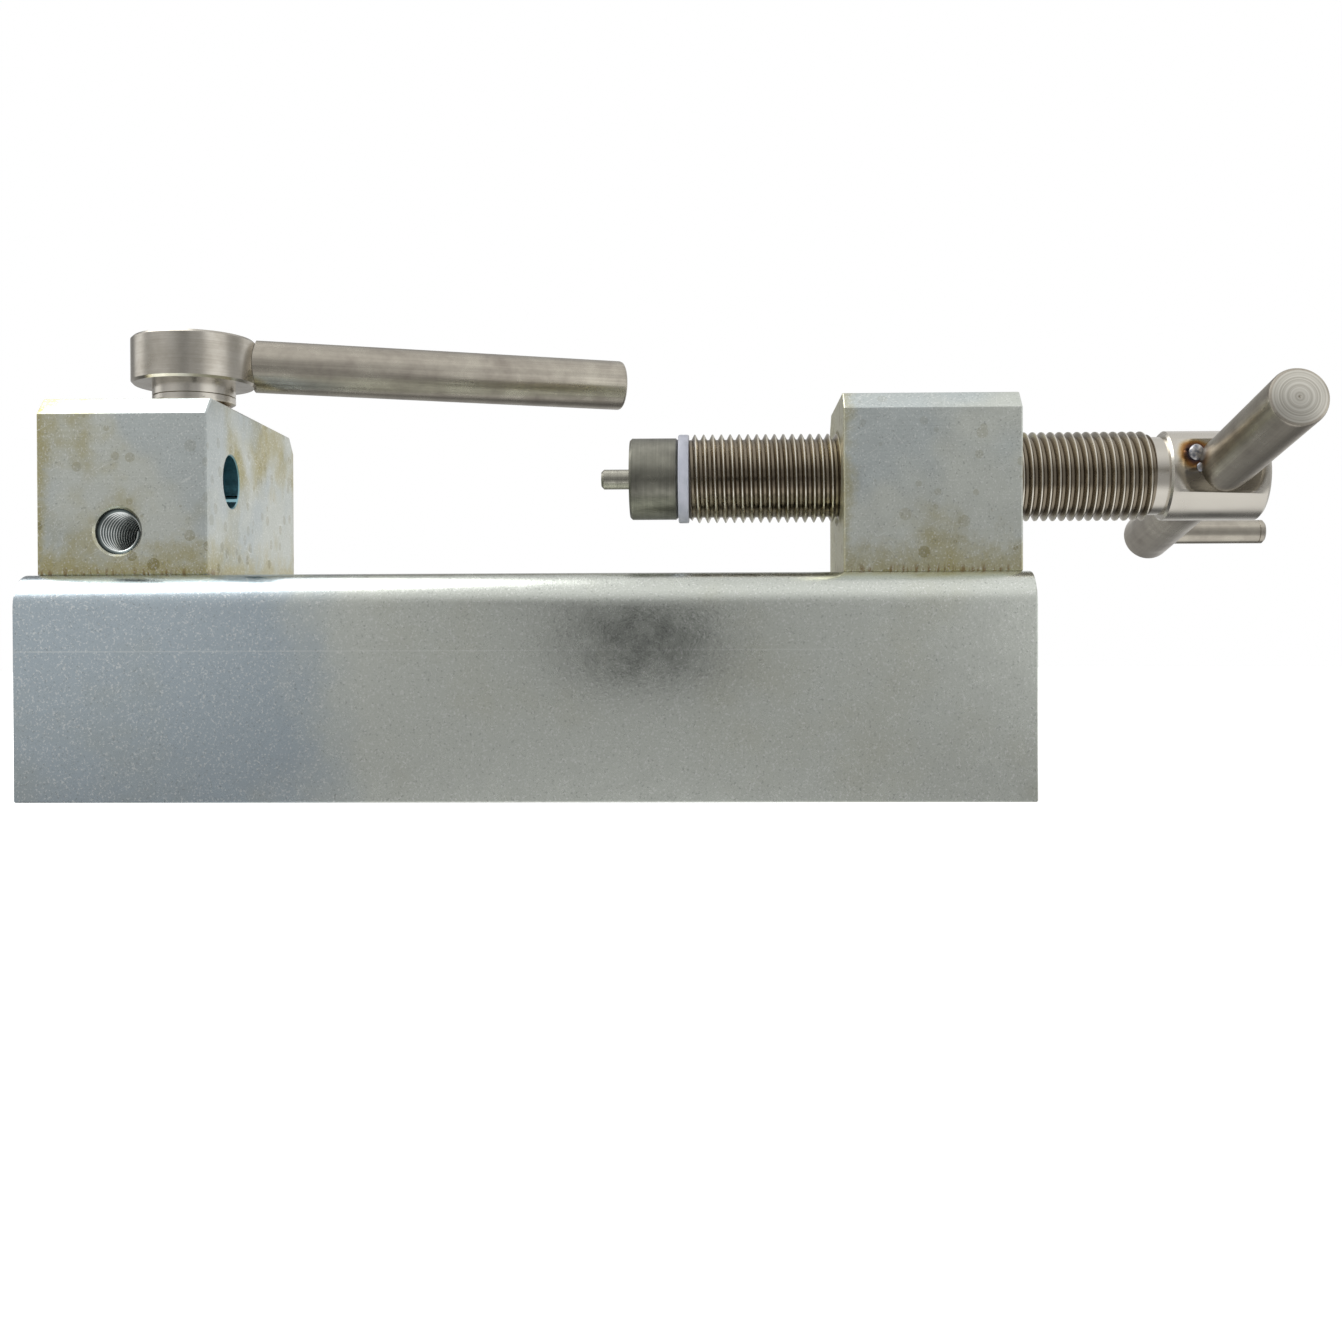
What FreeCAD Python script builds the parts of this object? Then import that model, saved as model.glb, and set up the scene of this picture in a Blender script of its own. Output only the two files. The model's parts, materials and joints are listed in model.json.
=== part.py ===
import FreeCAD, Part
import math
import os

from FreeCAD import Vector

# Bench vise with two fixed blocks on a folded channel base. A screw spindle in the right block pushes
# a swivelling press head towards the left block, which has a cross bore on the spindle's axis, a
# threaded hole in its front face and an upright clamp screw with a hub and a lever.
# Sizes are in millimetres. The model is laid out from the base's left front lower corner (X along
# the spindle, Y to the rear, Z up) and is then moved so that its origin is the middle of its
# bounding box, on the floor.

# --- Driving dimensions -------------------------------------------------------------------------

base_length = 218.0
base_height = 49.0
base_wall = 5.0
bend_outer_radius = 7.5
block_setback = 8.0             # from the base's front face to both blocks' front faces

block_height = 39.2
block_chamfer = 3.8             # on the two long top edges
clamp_block_left = 2.0
clamp_block_width = 37.5        # along the spindle
clamp_block_depth = 70.0
spindle_block_left = 178.0
spindle_block_width = 38.5
spindle_block_depth = 38.0

thread_radius = 10.0            # M20 x 2, on the spindle and on the clamp screw
thread_pitch = 2.0
running_gap = 0.05              # radial, between a moving screw or shank and its hole
spindle_y = 25.5
spindle_height = 22.2           # of the spindle's axis above the top of the base
spindle_left = 144.5
thread_end = 246.6
head_left = 250.6
head_right = 272.4
neck_radius = 8.75

bar_x = 262.6
bar_radius = 6.0
bar_near = 52.0                 # from the spindle's axis to the bar's front end
bar_far = 54.0
bar_tilt = 0.18                 # radians, front end up
peg_radius = 3.0
peg_distance = 49.5             # from the spindle's axis
peg_tip = 291.0

press_radius = 9.2
press_left = 131.1
press_right = 142.0
pilot_radius = 2.25
pilot_tip = 124.5
pilot_tenon_radius = 1.8
pilot_tenon = 6.0               # length pressed into the head
shank_radius = 5.0
shank_right = 158.0
ball_radius = 4.0

clamp_y = 55.8
hub_radius = 15.0
hub_height = 11.4
hub_lift = 10.3                 # from the block's top to the hub's underside
lever_radius = 6.5
lever_reach = 110.7             # from the clamp screw's axis to the lever's end
lever_angle = 0.3367            # radians, from +X towards the rear

tube_bore_radius = 6.0
port_radius = 5.05              # wall of the M10 x 1.5 hole, at the thread's outer diameter
port_x = 19.7
port_height = 9.65              # of the hole's axis above the top of the base
port_depth = 60.0

bolt_radius = 4.0               # M8
bolt_head_radius = 6.5
bolt_head_height = 8.0
bolt_socket_radius = 3.464       # across corners, for a 6 mm key
bolt_socket_depth = 4.0
bolt_engagement = 11.0
washer_thickness = 2.0
dowel_radius = 2.5
dowel_engagement = 8.0

# --- Worked out from them -----------------------------------------------------------------------

base_width = 2 * block_setback + clamp_block_depth
web_underside = base_height - base_wall
block_top = base_height + block_height
spindle_z = base_height + spindle_height
clamp_x = clamp_block_left + clamp_block_width / 2
hub_bottom = block_top + hub_lift
hub_top = hub_bottom + hub_height
lever_z = hub_bottom + hub_height / 2
port_z = base_height + port_height

thread_depth = 0.6134 * thread_pitch
crest_flat = thread_pitch / 8
root_flat = thread_pitch / 4
flank = (thread_pitch - crest_flat - root_flat) / 2
thread_hole_radius = thread_radius + running_gap

small_chamfer = 0.6
bar_chamfer = 0.7
screw_chamfer = 1.2
part_gap = 0.05                 # between faces that bear on each other

clamp_collar = 4.1              # plain length between the hub and the clamp screw's thread
clamp_screw_end = 70.6
pad_radius = 8.8
pad_thickness = 4.8
pad_spigot_radius = 4.0
pad_spigot_length = 3.4
chamber_floor = port_z + 1.85   # the clamp screw's hole breaks into the M10 hole below it
hub_spigot_radius = 6.0
lever_tenon_radius = 4.0

ring_wire = 0.42                # radius of the wire of both retaining rings
ring_groove = 1.1               # width of their grooves

bolt_inset = 7.0                # of the clamp block's bolts and dowels from its faces

X_AXIS = Vector(1, 0, 0)
Y_AXIS = Vector(0, 1, 0)
Z_AXIS = Vector(0, 0, 1)
SPINDLE = Vector(0, spindle_y, spindle_z)
BAR_AXIS = Vector(0, -math.cos(bar_tilt), math.sin(bar_tilt))
LEVER_AXIS = Vector(math.cos(lever_angle), math.sin(lever_angle), 0)


def end_reach(length, radius, chamfer, slope):
    """How far a chamfered rod's end reaches along a direction at an angle of slope to the rod."""
    at_face = length * math.cos(slope) + (radius - chamfer) * math.sin(slope)
    at_side = (length - chamfer) * math.cos(slope) + radius * math.sin(slope)
    return max(at_face, at_side)


front_extent = spindle_y - end_reach(bar_near, bar_radius, bar_chamfer, bar_tilt)
rear_extent = clamp_y + end_reach(lever_reach, lever_radius, bar_chamfer, math.pi / 2 - lever_angle)
ORIGIN = Vector(peg_tip / 2, (front_extent + rear_extent) / 2, 0)


# --- Shapes used more than once -----------------------------------------------------------------

def rod(start, axis, length, radius):
    return Part.makeCylinder(radius, length, start, axis)


def chamfered_rod(start, axis, length, radius, near_chamfer, far_chamfer):
    """A cylinder with a 45-degree chamfer at each end that has one."""
    outline = [(0, 0), (radius - near_chamfer, 0), (radius, near_chamfer)]
    outline += [(radius, length - far_chamfer), (radius - far_chamfer, length), (0, length)]
    return turned(outline, start, axis)


def turned(outline, start, axis):
    """A solid of revolution. The outline holds (radius, distance along axis) pairs."""
    points = []
    for radius, along in outline:
        point = Vector(radius, 0, along)
        if not points or (point - points[-1]).Length > 1e-6:
            points.append(point)
    face = Part.Face(Part.makePolygon(points + [points[0]]))
    solid = face.revolve(Vector(0, 0, 0), Z_AXIS, 360)
    turn = FreeCAD.Rotation(Z_AXIS, axis)
    solid.Placement = FreeCAD.Placement(start, turn)
    return solid


def grooves(start, end):
    """Outline of the thread as rings of V grooves, from start to end along the axis."""
    outline = []
    along = start
    while along + thread_pitch <= end + 1e-6:
        outline.append((thread_radius, along))
        outline.append((thread_radius - thread_depth, along + flank))
        outline.append((thread_radius - thread_depth, along + flank + root_flat))
        outline.append((thread_radius, along + 2 * flank + root_flat))
        along += thread_pitch
    outline.append((thread_radius, end))
    return outline


def mouth(centre, axis, radius, chamfer):
    """Cutter for the chamfer at a hole's mouth. The axis points into the hole."""
    outline = [(0, -1), (radius + chamfer + 1, -1), (radius, chamfer), (0, chamfer)]
    return turned(outline, centre, axis)


def ring(centre, axis, radius):
    """A retaining ring of round wire."""
    return Part.makeTorus(radius, ring_wire, centre, axis)


def block(left, width, depth):
    """A block of bright bar with chamfers on its two long top edges."""
    front = block_setback
    back = block_setback + depth
    profile = [
        Vector(left, front, base_height),
        Vector(left, back, base_height),
        Vector(left, back, block_top - block_chamfer),
        Vector(left, back - block_chamfer, block_top),
        Vector(left, front + block_chamfer, block_top),
        Vector(left, front, block_top - block_chamfer),
    ]
    face = Part.Face(Part.makePolygon(profile + [profile[0]]))
    return face.extrude(X_AXIS * width)


# --- Where the blocks are bolted and dowelled to the base ----------------------------------------

def clamp_block_corners(first):
    """Two opposite corners of the clamp block: the bolts take one pair and the dowels the other."""
    left = clamp_block_left + bolt_inset
    right = clamp_block_left + clamp_block_width - bolt_inset
    front = block_setback + 1.5 * bolt_inset
    rear = block_setback + clamp_block_depth - bolt_inset
    return [(left, front), (right, rear)] if first else [(right, front), (left, rear)]


def spindle_block_corners(first):
    left = spindle_block_left + bolt_inset
    right = spindle_block_left + spindle_block_width - bolt_inset
    front = block_setback + 6.0
    rear = block_setback + spindle_block_depth - 6.5
    return [(left, front), (right, rear)] if first else [(right, front), (left, rear)]


def seat_holes(solid, bolts, dowels):
    """Cut the holes in a block's underside for its bolts and dowels."""
    for x, y in bolts:
        hole = rod(Vector(x, y, base_height - 1), Z_AXIS, bolt_engagement + 3, bolt_radius + part_gap)
        solid = solid.cut(hole)
    for x, y in dowels:
        hole = rod(Vector(x, y, base_height - 1), Z_AXIS, dowel_engagement + 2, dowel_radius + 0.01)
        solid = solid.cut(hole)
    return solid


# --- Base ---------------------------------------------------------------------------------------

def channel_outline(width_offset, top, radius):
    """Open outline of the channel, from the front flange's foot over the web to the rear one's."""
    front = width_offset
    back = base_width - width_offset
    bend = radius * (1 - math.sqrt(0.5))
    front_bend = Part.Arc(
        Vector(0, front, top - radius),
        Vector(0, front + bend, top - bend),
        Vector(0, front + radius, top),
    )
    rear_bend = Part.Arc(
        Vector(0, back - radius, top),
        Vector(0, back - bend, top - bend),
        Vector(0, back, top - radius),
    )
    return [
        Part.LineSegment(Vector(0, front, 0), Vector(0, front, top - radius)).toShape(),
        front_bend.toShape(),
        Part.LineSegment(Vector(0, front + radius, top), Vector(0, back - radius, top)).toShape(),
        rear_bend.toShape(),
        Part.LineSegment(Vector(0, back, top - radius), Vector(0, back, 0)).toShape(),
    ]


def base_channel():
    """Plate folded into a channel that stands open side down."""
    outer = channel_outline(0, base_height, bend_outer_radius)
    inner = channel_outline(base_wall, web_underside, bend_outer_radius - base_wall)
    front_foot = Part.LineSegment(Vector(0, 0, 0), Vector(0, base_wall, 0)).toShape()
    rear_start = Vector(0, base_width - base_wall, 0)
    rear_foot = Part.LineSegment(rear_start, Vector(0, base_width, 0)).toShape()
    edges = Part.sortEdges(outer + inner + [front_foot, rear_foot])[0]
    solid = Part.Face(Part.Wire(edges)).extrude(X_AXIS * base_length)
    for x, y in clamp_block_corners(True) + spindle_block_corners(True):
        solid = solid.cut(rod(Vector(x, y, 0), Z_AXIS, base_height + 1, bolt_radius + 0.5))
    for x, y in clamp_block_corners(False) + spindle_block_corners(False):
        solid = solid.cut(rod(Vector(x, y, 0), Z_AXIS, base_height + 1, dowel_radius + 0.01))
    return solid


def bolts(places):
    """Socket head cap screws, put in from below through the channel's web."""
    solids = []
    seat = web_underside - washer_thickness
    for x, y in places:
        length = base_height + bolt_engagement - seat
        shank = chamfered_rod(Vector(x, y, seat), Z_AXIS, length, bolt_radius, 0, small_chamfer)
        head_start = Vector(x, y, seat - bolt_head_height)
        head = chamfered_rod(head_start, Z_AXIS, bolt_head_height, bolt_head_radius, small_chamfer, 0)
        socket_wire = []
        for corner in range(6):
            angle = corner * math.pi / 3
            offset = Vector(math.cos(angle), math.sin(angle), 0) * bolt_socket_radius
            socket_wire.append(head_start + offset)
        socket = Part.Face(Part.makePolygon(socket_wire + [socket_wire[0]]))
        socket = socket.extrude(Z_AXIS * bolt_socket_depth)
        solids.append(head.fuse(shank).cut(socket).removeSplitter())
    return Part.makeCompound([solid.Solids[0] for solid in solids])


def lock_washers(places):
    """Split spring washers under the screws' heads."""
    solids = []
    for x, y in places:
        start = Vector(x, y, web_underside - washer_thickness)
        solid = rod(start, Z_AXIS, washer_thickness, bolt_head_radius + 0.5)
        solid = solid.cut(rod(start, Z_AXIS, washer_thickness, bolt_radius + 0.2))
        slot = Part.makeBox(bolt_head_radius + 1, 0.8, washer_thickness, start - Vector(0, 0.4, 0))
        solids.append(solid.cut(slot).Solids[0])
    return Part.makeCompound(solids)


def dowels(places):
    """Ground pins that keep a block in line with the other one."""
    solids = []
    for x, y in places:
        start = Vector(x, y, web_underside)
        length = base_wall + dowel_engagement
        solids.append(chamfered_rod(start, Z_AXIS, length, dowel_radius, 0.4, 0.4))
    return Part.makeCompound(solids)


# --- Blocks -------------------------------------------------------------------------------------

def clamp_block():
    solid = block(clamp_block_left, clamp_block_width, clamp_block_depth)
    right = clamp_block_left + clamp_block_width
    bore_start = SPINDLE + X_AXIS * (clamp_block_left - 1)
    bore = rod(bore_start, X_AXIS, clamp_block_width + 2, tube_bore_radius)
    solid = solid.cut(bore)
    solid = solid.cut(mouth(SPINDLE + X_AXIS * clamp_block_left, X_AXIS, tube_bore_radius, 0.3))
    solid = solid.cut(mouth(SPINDLE + X_AXIS * right, -X_AXIS, tube_bore_radius, 0.3))
    port_mouth = Vector(port_x, block_setback, port_z)
    solid = solid.cut(rod(port_mouth - Y_AXIS, Y_AXIS, port_depth + 1, port_radius))
    solid = solid.cut(mouth(port_mouth, Y_AXIS, port_radius, 0.5))
    chamber_top = Vector(clamp_x, clamp_y, block_top)
    chamber_depth = block_top - chamber_floor
    solid = solid.cut(rod(chamber_top + Z_AXIS, -Z_AXIS, chamber_depth + 1, thread_hole_radius))
    solid = solid.cut(mouth(chamber_top, -Z_AXIS, thread_hole_radius, 0.8))
    return seat_holes(solid, clamp_block_corners(True), clamp_block_corners(False))


def spindle_block():
    solid = block(spindle_block_left, spindle_block_width, spindle_block_depth)
    left_mouth = SPINDLE + X_AXIS * spindle_block_left
    right_mouth = left_mouth + X_AXIS * spindle_block_width
    through = rod(left_mouth - X_AXIS, X_AXIS, spindle_block_width + 2, thread_hole_radius)
    solid = solid.cut(through)
    solid = solid.cut(mouth(left_mouth, X_AXIS, thread_hole_radius, 0.8))
    solid = solid.cut(mouth(right_mouth, -X_AXIS, thread_hole_radius, 0.8))
    return seat_holes(solid, spindle_block_corners(True), spindle_block_corners(False))


# --- Clamp screw, hub, lever and pad ------------------------------------------------------------

def clamp_screw():
    """M20 screw with a spigot for the hub on top and a spigot for the pad at its lower end."""
    thread_top = hub_bottom - clamp_screw_end - clamp_collar
    length = hub_bottom - clamp_screw_end
    spigot_end = length + hub_height
    groove_at = -pad_spigot_length / 2
    groove_radius = pad_spigot_radius - 0.5
    outline = [(0, -pad_spigot_length), (pad_spigot_radius - 0.3, -pad_spigot_length)]
    outline += [(pad_spigot_radius, 0.3 - pad_spigot_length)]
    outline += [(pad_spigot_radius, groove_at - ring_groove / 2)]
    outline += [(groove_radius, groove_at - ring_groove / 2)]
    outline += [(groove_radius, groove_at + ring_groove / 2)]
    outline += [(pad_spigot_radius, groove_at + ring_groove / 2), (pad_spigot_radius, 0)]
    outline += [(thread_radius - screw_chamfer, 0), (thread_radius, screw_chamfer)]
    outline += grooves(screw_chamfer, thread_top)
    outline += [(thread_radius, length), (hub_spigot_radius, length)]
    outline += [(hub_spigot_radius, spigot_end), (0, spigot_end)]
    return turned(outline, Vector(clamp_x, clamp_y, clamp_screw_end), Z_AXIS)


def lever_hub():
    start = Vector(clamp_x, clamp_y, hub_bottom)
    solid = chamfered_rod(start, Z_AXIS, hub_height, hub_radius, small_chamfer, small_chamfer)
    solid = solid.cut(rod(start - Z_AXIS, Z_AXIS, hub_height + 2, hub_spigot_radius + 0.01))
    middle = Vector(clamp_x, clamp_y, lever_z)
    return solid.cut(rod(middle, LEVER_AXIS, hub_radius + 1, lever_tenon_radius + 0.01))


def lever_rod():
    """Round bar, its end hollowed to sit on the hub, with a turned tenon that is held in the hub."""
    middle = Vector(clamp_x, clamp_y, lever_z)
    inside = hub_radius - lever_radius / 2
    bar_start = middle + LEVER_AXIS * inside
    bar = chamfered_rod(bar_start, LEVER_AXIS, lever_reach - inside, lever_radius, 0, bar_chamfer)
    saddle_start = middle - Z_AXIS * (2 * lever_radius)
    bar = bar.cut(rod(saddle_start, Z_AXIS, 4 * lever_radius, hub_radius + part_gap))
    tenon_start = middle + LEVER_AXIS * (hub_spigot_radius + 0.9)
    tenon = rod(tenon_start, LEVER_AXIS, hub_radius - hub_spigot_radius, lever_tenon_radius)
    return bar.fuse(tenon).removeSplitter()


def clamp_pad():
    """Pressure pad that stays still while the clamp screw turns in it."""
    top = clamp_screw_end - part_gap
    socket_depth = pad_spigot_length + part_gap
    ring_at = socket_depth - pad_spigot_length / 2 - part_gap
    start = Vector(clamp_x, clamp_y, top)
    solid = chamfered_rod(start, -Z_AXIS, pad_thickness, pad_radius, small_chamfer, small_chamfer)
    solid = solid.cut(rod(start, -Z_AXIS, socket_depth, pad_spigot_radius + running_gap))
    groove_start = start - Z_AXIS * (ring_at - ring_groove / 2)
    return solid.cut(rod(groove_start, -Z_AXIS, ring_groove, pad_spigot_radius + 0.6))


def pad_retaining_ring():
    height = clamp_screw_end - pad_spigot_length / 2
    return ring(Vector(clamp_x, clamp_y, height), Z_AXIS, pad_spigot_radius + 0.1)


# --- Spindle, bar and press head ----------------------------------------------------------------

ball_centre = shank_right + part_gap + ball_radius
socket_end = ball_centre + ball_radius + part_gap
shank_groove = (press_right + shank_right) / 2 + 1.5


def spindle():
    """Spindle with its thread, run-out neck and cross-drilled head, and a socket for the press head."""
    length = head_right - spindle_left
    outline = [(0, 0), (thread_radius - screw_chamfer, 0), (thread_radius, screw_chamfer)]
    outline += grooves(screw_chamfer, thread_end - spindle_left)
    neck_end = head_left - spindle_left
    outline += [(neck_radius, thread_end - spindle_left + thread_radius - neck_radius)]
    outline += [(neck_radius, neck_end), (thread_radius - small_chamfer, neck_end)]
    outline += [(thread_radius, neck_end + small_chamfer), (thread_radius, length - small_chamfer)]
    outline += [(thread_radius - small_chamfer, length), (0, length)]
    solid = turned(outline, SPINDLE + X_AXIS * spindle_left, X_AXIS)
    socket_start = SPINDLE + X_AXIS * (spindle_left - 1)
    socket_length = socket_end - spindle_left + 1
    solid = solid.cut(rod(socket_start, X_AXIS, socket_length, shank_radius + running_gap))
    groove_start = SPINDLE + X_AXIS * (shank_groove - ring_groove / 2)
    solid = solid.cut(rod(groove_start, X_AXIS, ring_groove, shank_radius + 0.7))
    cross_start = SPINDLE + X_AXIS * bar_x - BAR_AXIS * (2 * thread_radius)
    return solid.cut(rod(cross_start, BAR_AXIS, 4 * thread_radius, bar_radius + 0.15))


def tommy_bar():
    """Straight bar through the spindle's head, with a blind hole for the peg near its far end."""
    centre = SPINDLE + X_AXIS * bar_x
    start = centre - BAR_AXIS * bar_far
    length = bar_near + bar_far
    solid = chamfered_rod(start, BAR_AXIS, length, bar_radius, bar_chamfer, bar_chamfer)
    peg_centre = centre - BAR_AXIS * peg_distance
    return solid.cut(rod(peg_centre + X_AXIS, X_AXIS, bar_radius + 1, peg_radius + 0.01))


def crank_peg():
    start = SPINDLE + X_AXIS * (bar_x + 1.05) - BAR_AXIS * peg_distance
    length = peg_tip - bar_x - 1.05
    return chamfered_rod(start, X_AXIS, length, peg_radius, 0.2, 0.5)


def tack_weld():
    """Two beads in the corner between the head and the bar, on the front and to the left."""
    beads = []
    for radius, side, above in ((1.7, -6.6, 4.0), (0.9, -5.9, 0.8)):
        depth = math.sqrt(thread_radius ** 2 - above ** 2)
        centre = SPINDLE + Vector(bar_x + side, -depth, above)
        bead = Part.makeSphere(radius, centre)
        head = rod(SPINDLE + X_AXIS * head_left, X_AXIS, head_right - head_left, thread_radius)
        bar = rod(SPINDLE + X_AXIS * bar_x, BAR_AXIS, bar_near, bar_radius)
        bead = bead.cut(head).cut(bar)
        beads.append(max(bead.Solids, key=lambda solid: solid.Volume))
    return Part.makeCompound(beads)


def press_head():
    """Round press head with a shank that swivels in the spindle's end."""
    length = shank_right - press_left
    face_end = press_right - press_left
    groove_start = shank_groove - ring_groove / 2 - press_left
    groove_end = shank_groove + ring_groove / 2 - press_left
    groove_radius = shank_radius - 0.6
    outline = [(0, 0), (press_radius - small_chamfer, 0), (press_radius, small_chamfer)]
    outline += [(press_radius, face_end - small_chamfer), (press_radius - small_chamfer, face_end)]
    outline += [(shank_radius, face_end), (shank_radius, groove_start), (groove_radius, groove_start)]
    outline += [(groove_radius, groove_end), (shank_radius, groove_end)]
    outline += [(shank_radius, length - 0.5), (shank_radius - 0.5, length), (0, length)]
    solid = turned(outline, SPINDLE + X_AXIS * press_left, X_AXIS)
    pilot_seat = SPINDLE + X_AXIS * (press_left - 1)
    return solid.cut(rod(pilot_seat, X_AXIS, pilot_tenon + 1.1, pilot_tenon_radius + 0.01))


def pilot_pin():
    """Pin shouldered on the press head's face, with a thinner tenon pressed into the head."""
    length = press_left - 0.02 - pilot_tip
    tenon = length + pilot_tenon
    outline = [(0, 0), (pilot_radius - small_chamfer, 0), (pilot_radius, small_chamfer)]
    outline += [(pilot_radius, length), (pilot_tenon_radius, length)]
    outline += [(pilot_tenon_radius, tenon - 0.3), (pilot_tenon_radius - 0.3, tenon), (0, tenon)]
    return turned(outline, SPINDLE + X_AXIS * pilot_tip, X_AXIS)


def thrust_washer():
    """Plastic washer between the press head and the spindle's end."""
    start = SPINDLE + X_AXIS * (press_right + part_gap)
    thickness = spindle_left - press_right - 2 * part_gap
    solid = chamfered_rod(start, X_AXIS, thickness, thread_radius, 0.25, 0.25)
    return solid.cut(rod(start, X_AXIS, thickness, shank_radius + 0.2))


def thrust_ball():
    return Part.makeSphere(ball_radius, SPINDLE + X_AXIS * ball_centre)


def head_retaining_ring():
    return ring(SPINDLE + X_AXIS * shank_groove, X_AXIS, shank_radius + 0.05)


# --- The assembly -------------------------------------------------------------------------------

NODES = {
    "base_channel": base_channel(),
    "clamp_block": clamp_block(),
    "spindle_block": spindle_block(),
    "clamp_block_bolts": bolts(clamp_block_corners(True)),
    "clamp_block_lock_washers": lock_washers(clamp_block_corners(True)),
    "clamp_block_dowels": dowels(clamp_block_corners(False)),
    "spindle_block_bolts": bolts(spindle_block_corners(True)),
    "spindle_block_lock_washers": lock_washers(spindle_block_corners(True)),
    "spindle_block_dowels": dowels(spindle_block_corners(False)),
    "clamp_screw": clamp_screw(),
    "lever_hub": lever_hub(),
    "lever_rod": lever_rod(),
    "clamp_pad": clamp_pad(),
    "pad_retaining_ring": pad_retaining_ring(),
    "spindle": spindle(),
    "tommy_bar": tommy_bar(),
    "crank_peg": crank_peg(),
    "tack_weld": tack_weld(),
    "press_head": press_head(),
    "pilot_pin": pilot_pin(),
    "thrust_washer": thrust_washer(),
    "thrust_ball": thrust_ball(),
    "head_retaining_ring": head_retaining_ring(),
}

os.makedirs("parts", exist_ok=True)
for name, shape in NODES.items():
    moved = shape.copy()
    moved.translate(-ORIGIN)
    moved.exportStep("parts/" + name + ".step")
    print(name, moved.isValid(), len(moved.Solids), round(moved.Volume, 1), moved.BoundBox)
print("origin", ORIGIN)
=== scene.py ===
"""Bench screw press vise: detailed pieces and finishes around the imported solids."""

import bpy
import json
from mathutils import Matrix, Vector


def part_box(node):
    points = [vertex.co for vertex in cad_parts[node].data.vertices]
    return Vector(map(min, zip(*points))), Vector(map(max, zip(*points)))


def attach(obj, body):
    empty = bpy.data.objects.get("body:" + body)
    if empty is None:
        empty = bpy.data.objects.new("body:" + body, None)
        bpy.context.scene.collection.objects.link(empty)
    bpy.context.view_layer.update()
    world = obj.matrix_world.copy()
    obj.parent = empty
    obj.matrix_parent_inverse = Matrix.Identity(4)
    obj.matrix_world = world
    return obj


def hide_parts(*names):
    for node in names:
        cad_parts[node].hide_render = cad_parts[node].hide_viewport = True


bl_info = {
    "name": "Bench Screw Press Vise",
    "version": (1, 0, 0),
    "blender": (4, 5, 0),
    "location": "View3D > Sidebar > Bench Vise",
    "description": "Models the pieces of a bench screw press vise around its packed solids",
    "category": "Object",
}

import json
import math

import bpy
from bpy.props import FloatProperty, FloatVectorProperty, IntProperty, PointerProperty
from mathutils import Euler, Matrix, Vector

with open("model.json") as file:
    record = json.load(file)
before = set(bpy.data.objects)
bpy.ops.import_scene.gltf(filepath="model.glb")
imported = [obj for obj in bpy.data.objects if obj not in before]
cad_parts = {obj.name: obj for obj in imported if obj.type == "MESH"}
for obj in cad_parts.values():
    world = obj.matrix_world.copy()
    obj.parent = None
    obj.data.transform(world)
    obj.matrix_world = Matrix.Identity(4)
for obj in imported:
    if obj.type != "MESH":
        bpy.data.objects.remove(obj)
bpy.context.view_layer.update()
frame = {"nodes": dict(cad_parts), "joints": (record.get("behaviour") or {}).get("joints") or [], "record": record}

MM = 0.001
X_AXIS = Vector((1, 0, 0))
Y_AXIS = Vector((0, 1, 0))
Z_AXIS = Vector((0, 0, 1))

joints = {joint["name"]: joint for joint in frame["joints"]}
mounts = {mount["name"]: mount for mount in frame["record"]["mounts"]}
spindle_axis = Vector(joints["spindle_turn"]["pos_m"])
clamp_axis = Vector(joints["clamp_turn"]["pos_m"])
base_low, base_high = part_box("base_channel")
clamp_low, clamp_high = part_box("clamp_block")
guide_low, guide_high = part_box("spindle_block")


def tone(code):
    """An sRGB hex colour as linear red, green, blue and alpha."""
    linear = []
    for start in (1, 3, 5):
        value = int(code[start:start + 2], 16) / 255
        linear.append(value / 12.92 if value <= 0.04045 else ((value + 0.055) / 1.055) ** 2.4)
    return (*linear, 1.0)


# --- Sizes and colours that a user would change -------------------------------------------------

def length(name, words, default):
    return FloatProperty(name=name, description=words, default=default, unit="LENGTH", precision=5)


def colour(name, words, code):
    return FloatVectorProperty(name=name, description=words, default=tone(code), size=4,
                               subtype="COLOR", min=0, max=1)


class VISE_PG_sizes(bpy.types.PropertyGroup):
    """Sizes of the vise's pieces."""

    wall: length("Channel wall", "Thickness of the folded plate", 5 * MM)
    bend: length("Bend radius", "Outer radius of the channel's two bends", 7.5 * MM)
    block_chamfer: length("Block chamfer", "Chamfer on the blocks' long top edges", 3.8 * MM)
    edge_break: length("Edge break", "Width of the broken edges of blocks and plate", 0.35 * MM)
    thread_radius: length("Thread radius", "Outer radius of the spindle's and the clamp screw's threads", 10 * MM)
    pitch: length("Thread pitch", "Pitch of those two threads", 2 * MM)
    thread_length: length("Thread length", "Length of the spindle's thread", 102.1 * MM)
    head_length: length("Head length", "Length of the spindle's cross-drilled head", 21.8 * MM)
    neck_radius: length("Neck radius", "Radius of the run-out between thread and head", 8.75 * MM)
    bar_near: length("Bar front reach", "From the spindle's axis to the bar's front end", 52 * MM)
    bar_far: length("Bar rear reach", "From the spindle's axis to the bar's rear end", 54 * MM)
    bar_tilt: FloatProperty(name="Bar tilt", description="Tilt of the bar, front end up", default=0.18,
                            unit="ROTATION")
    peg_distance: length("Peg distance", "From the spindle's axis to the crank peg's axis", 49.5 * MM)
    lever_reach: length("Lever reach", "From the clamp screw's axis to the lever's end", 110.7 * MM)
    lever_angle: FloatProperty(name="Lever angle", description="Turn of the lever towards the rear",
                               default=0.3367, unit="ROTATION")
    port_pitch: length("Port pitch", "Pitch of the thread in the clamp block's port", 1.5 * MM)
    facets: IntProperty(name="Facets", description="Flats round each turned piece", default=96, min=24)


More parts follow.
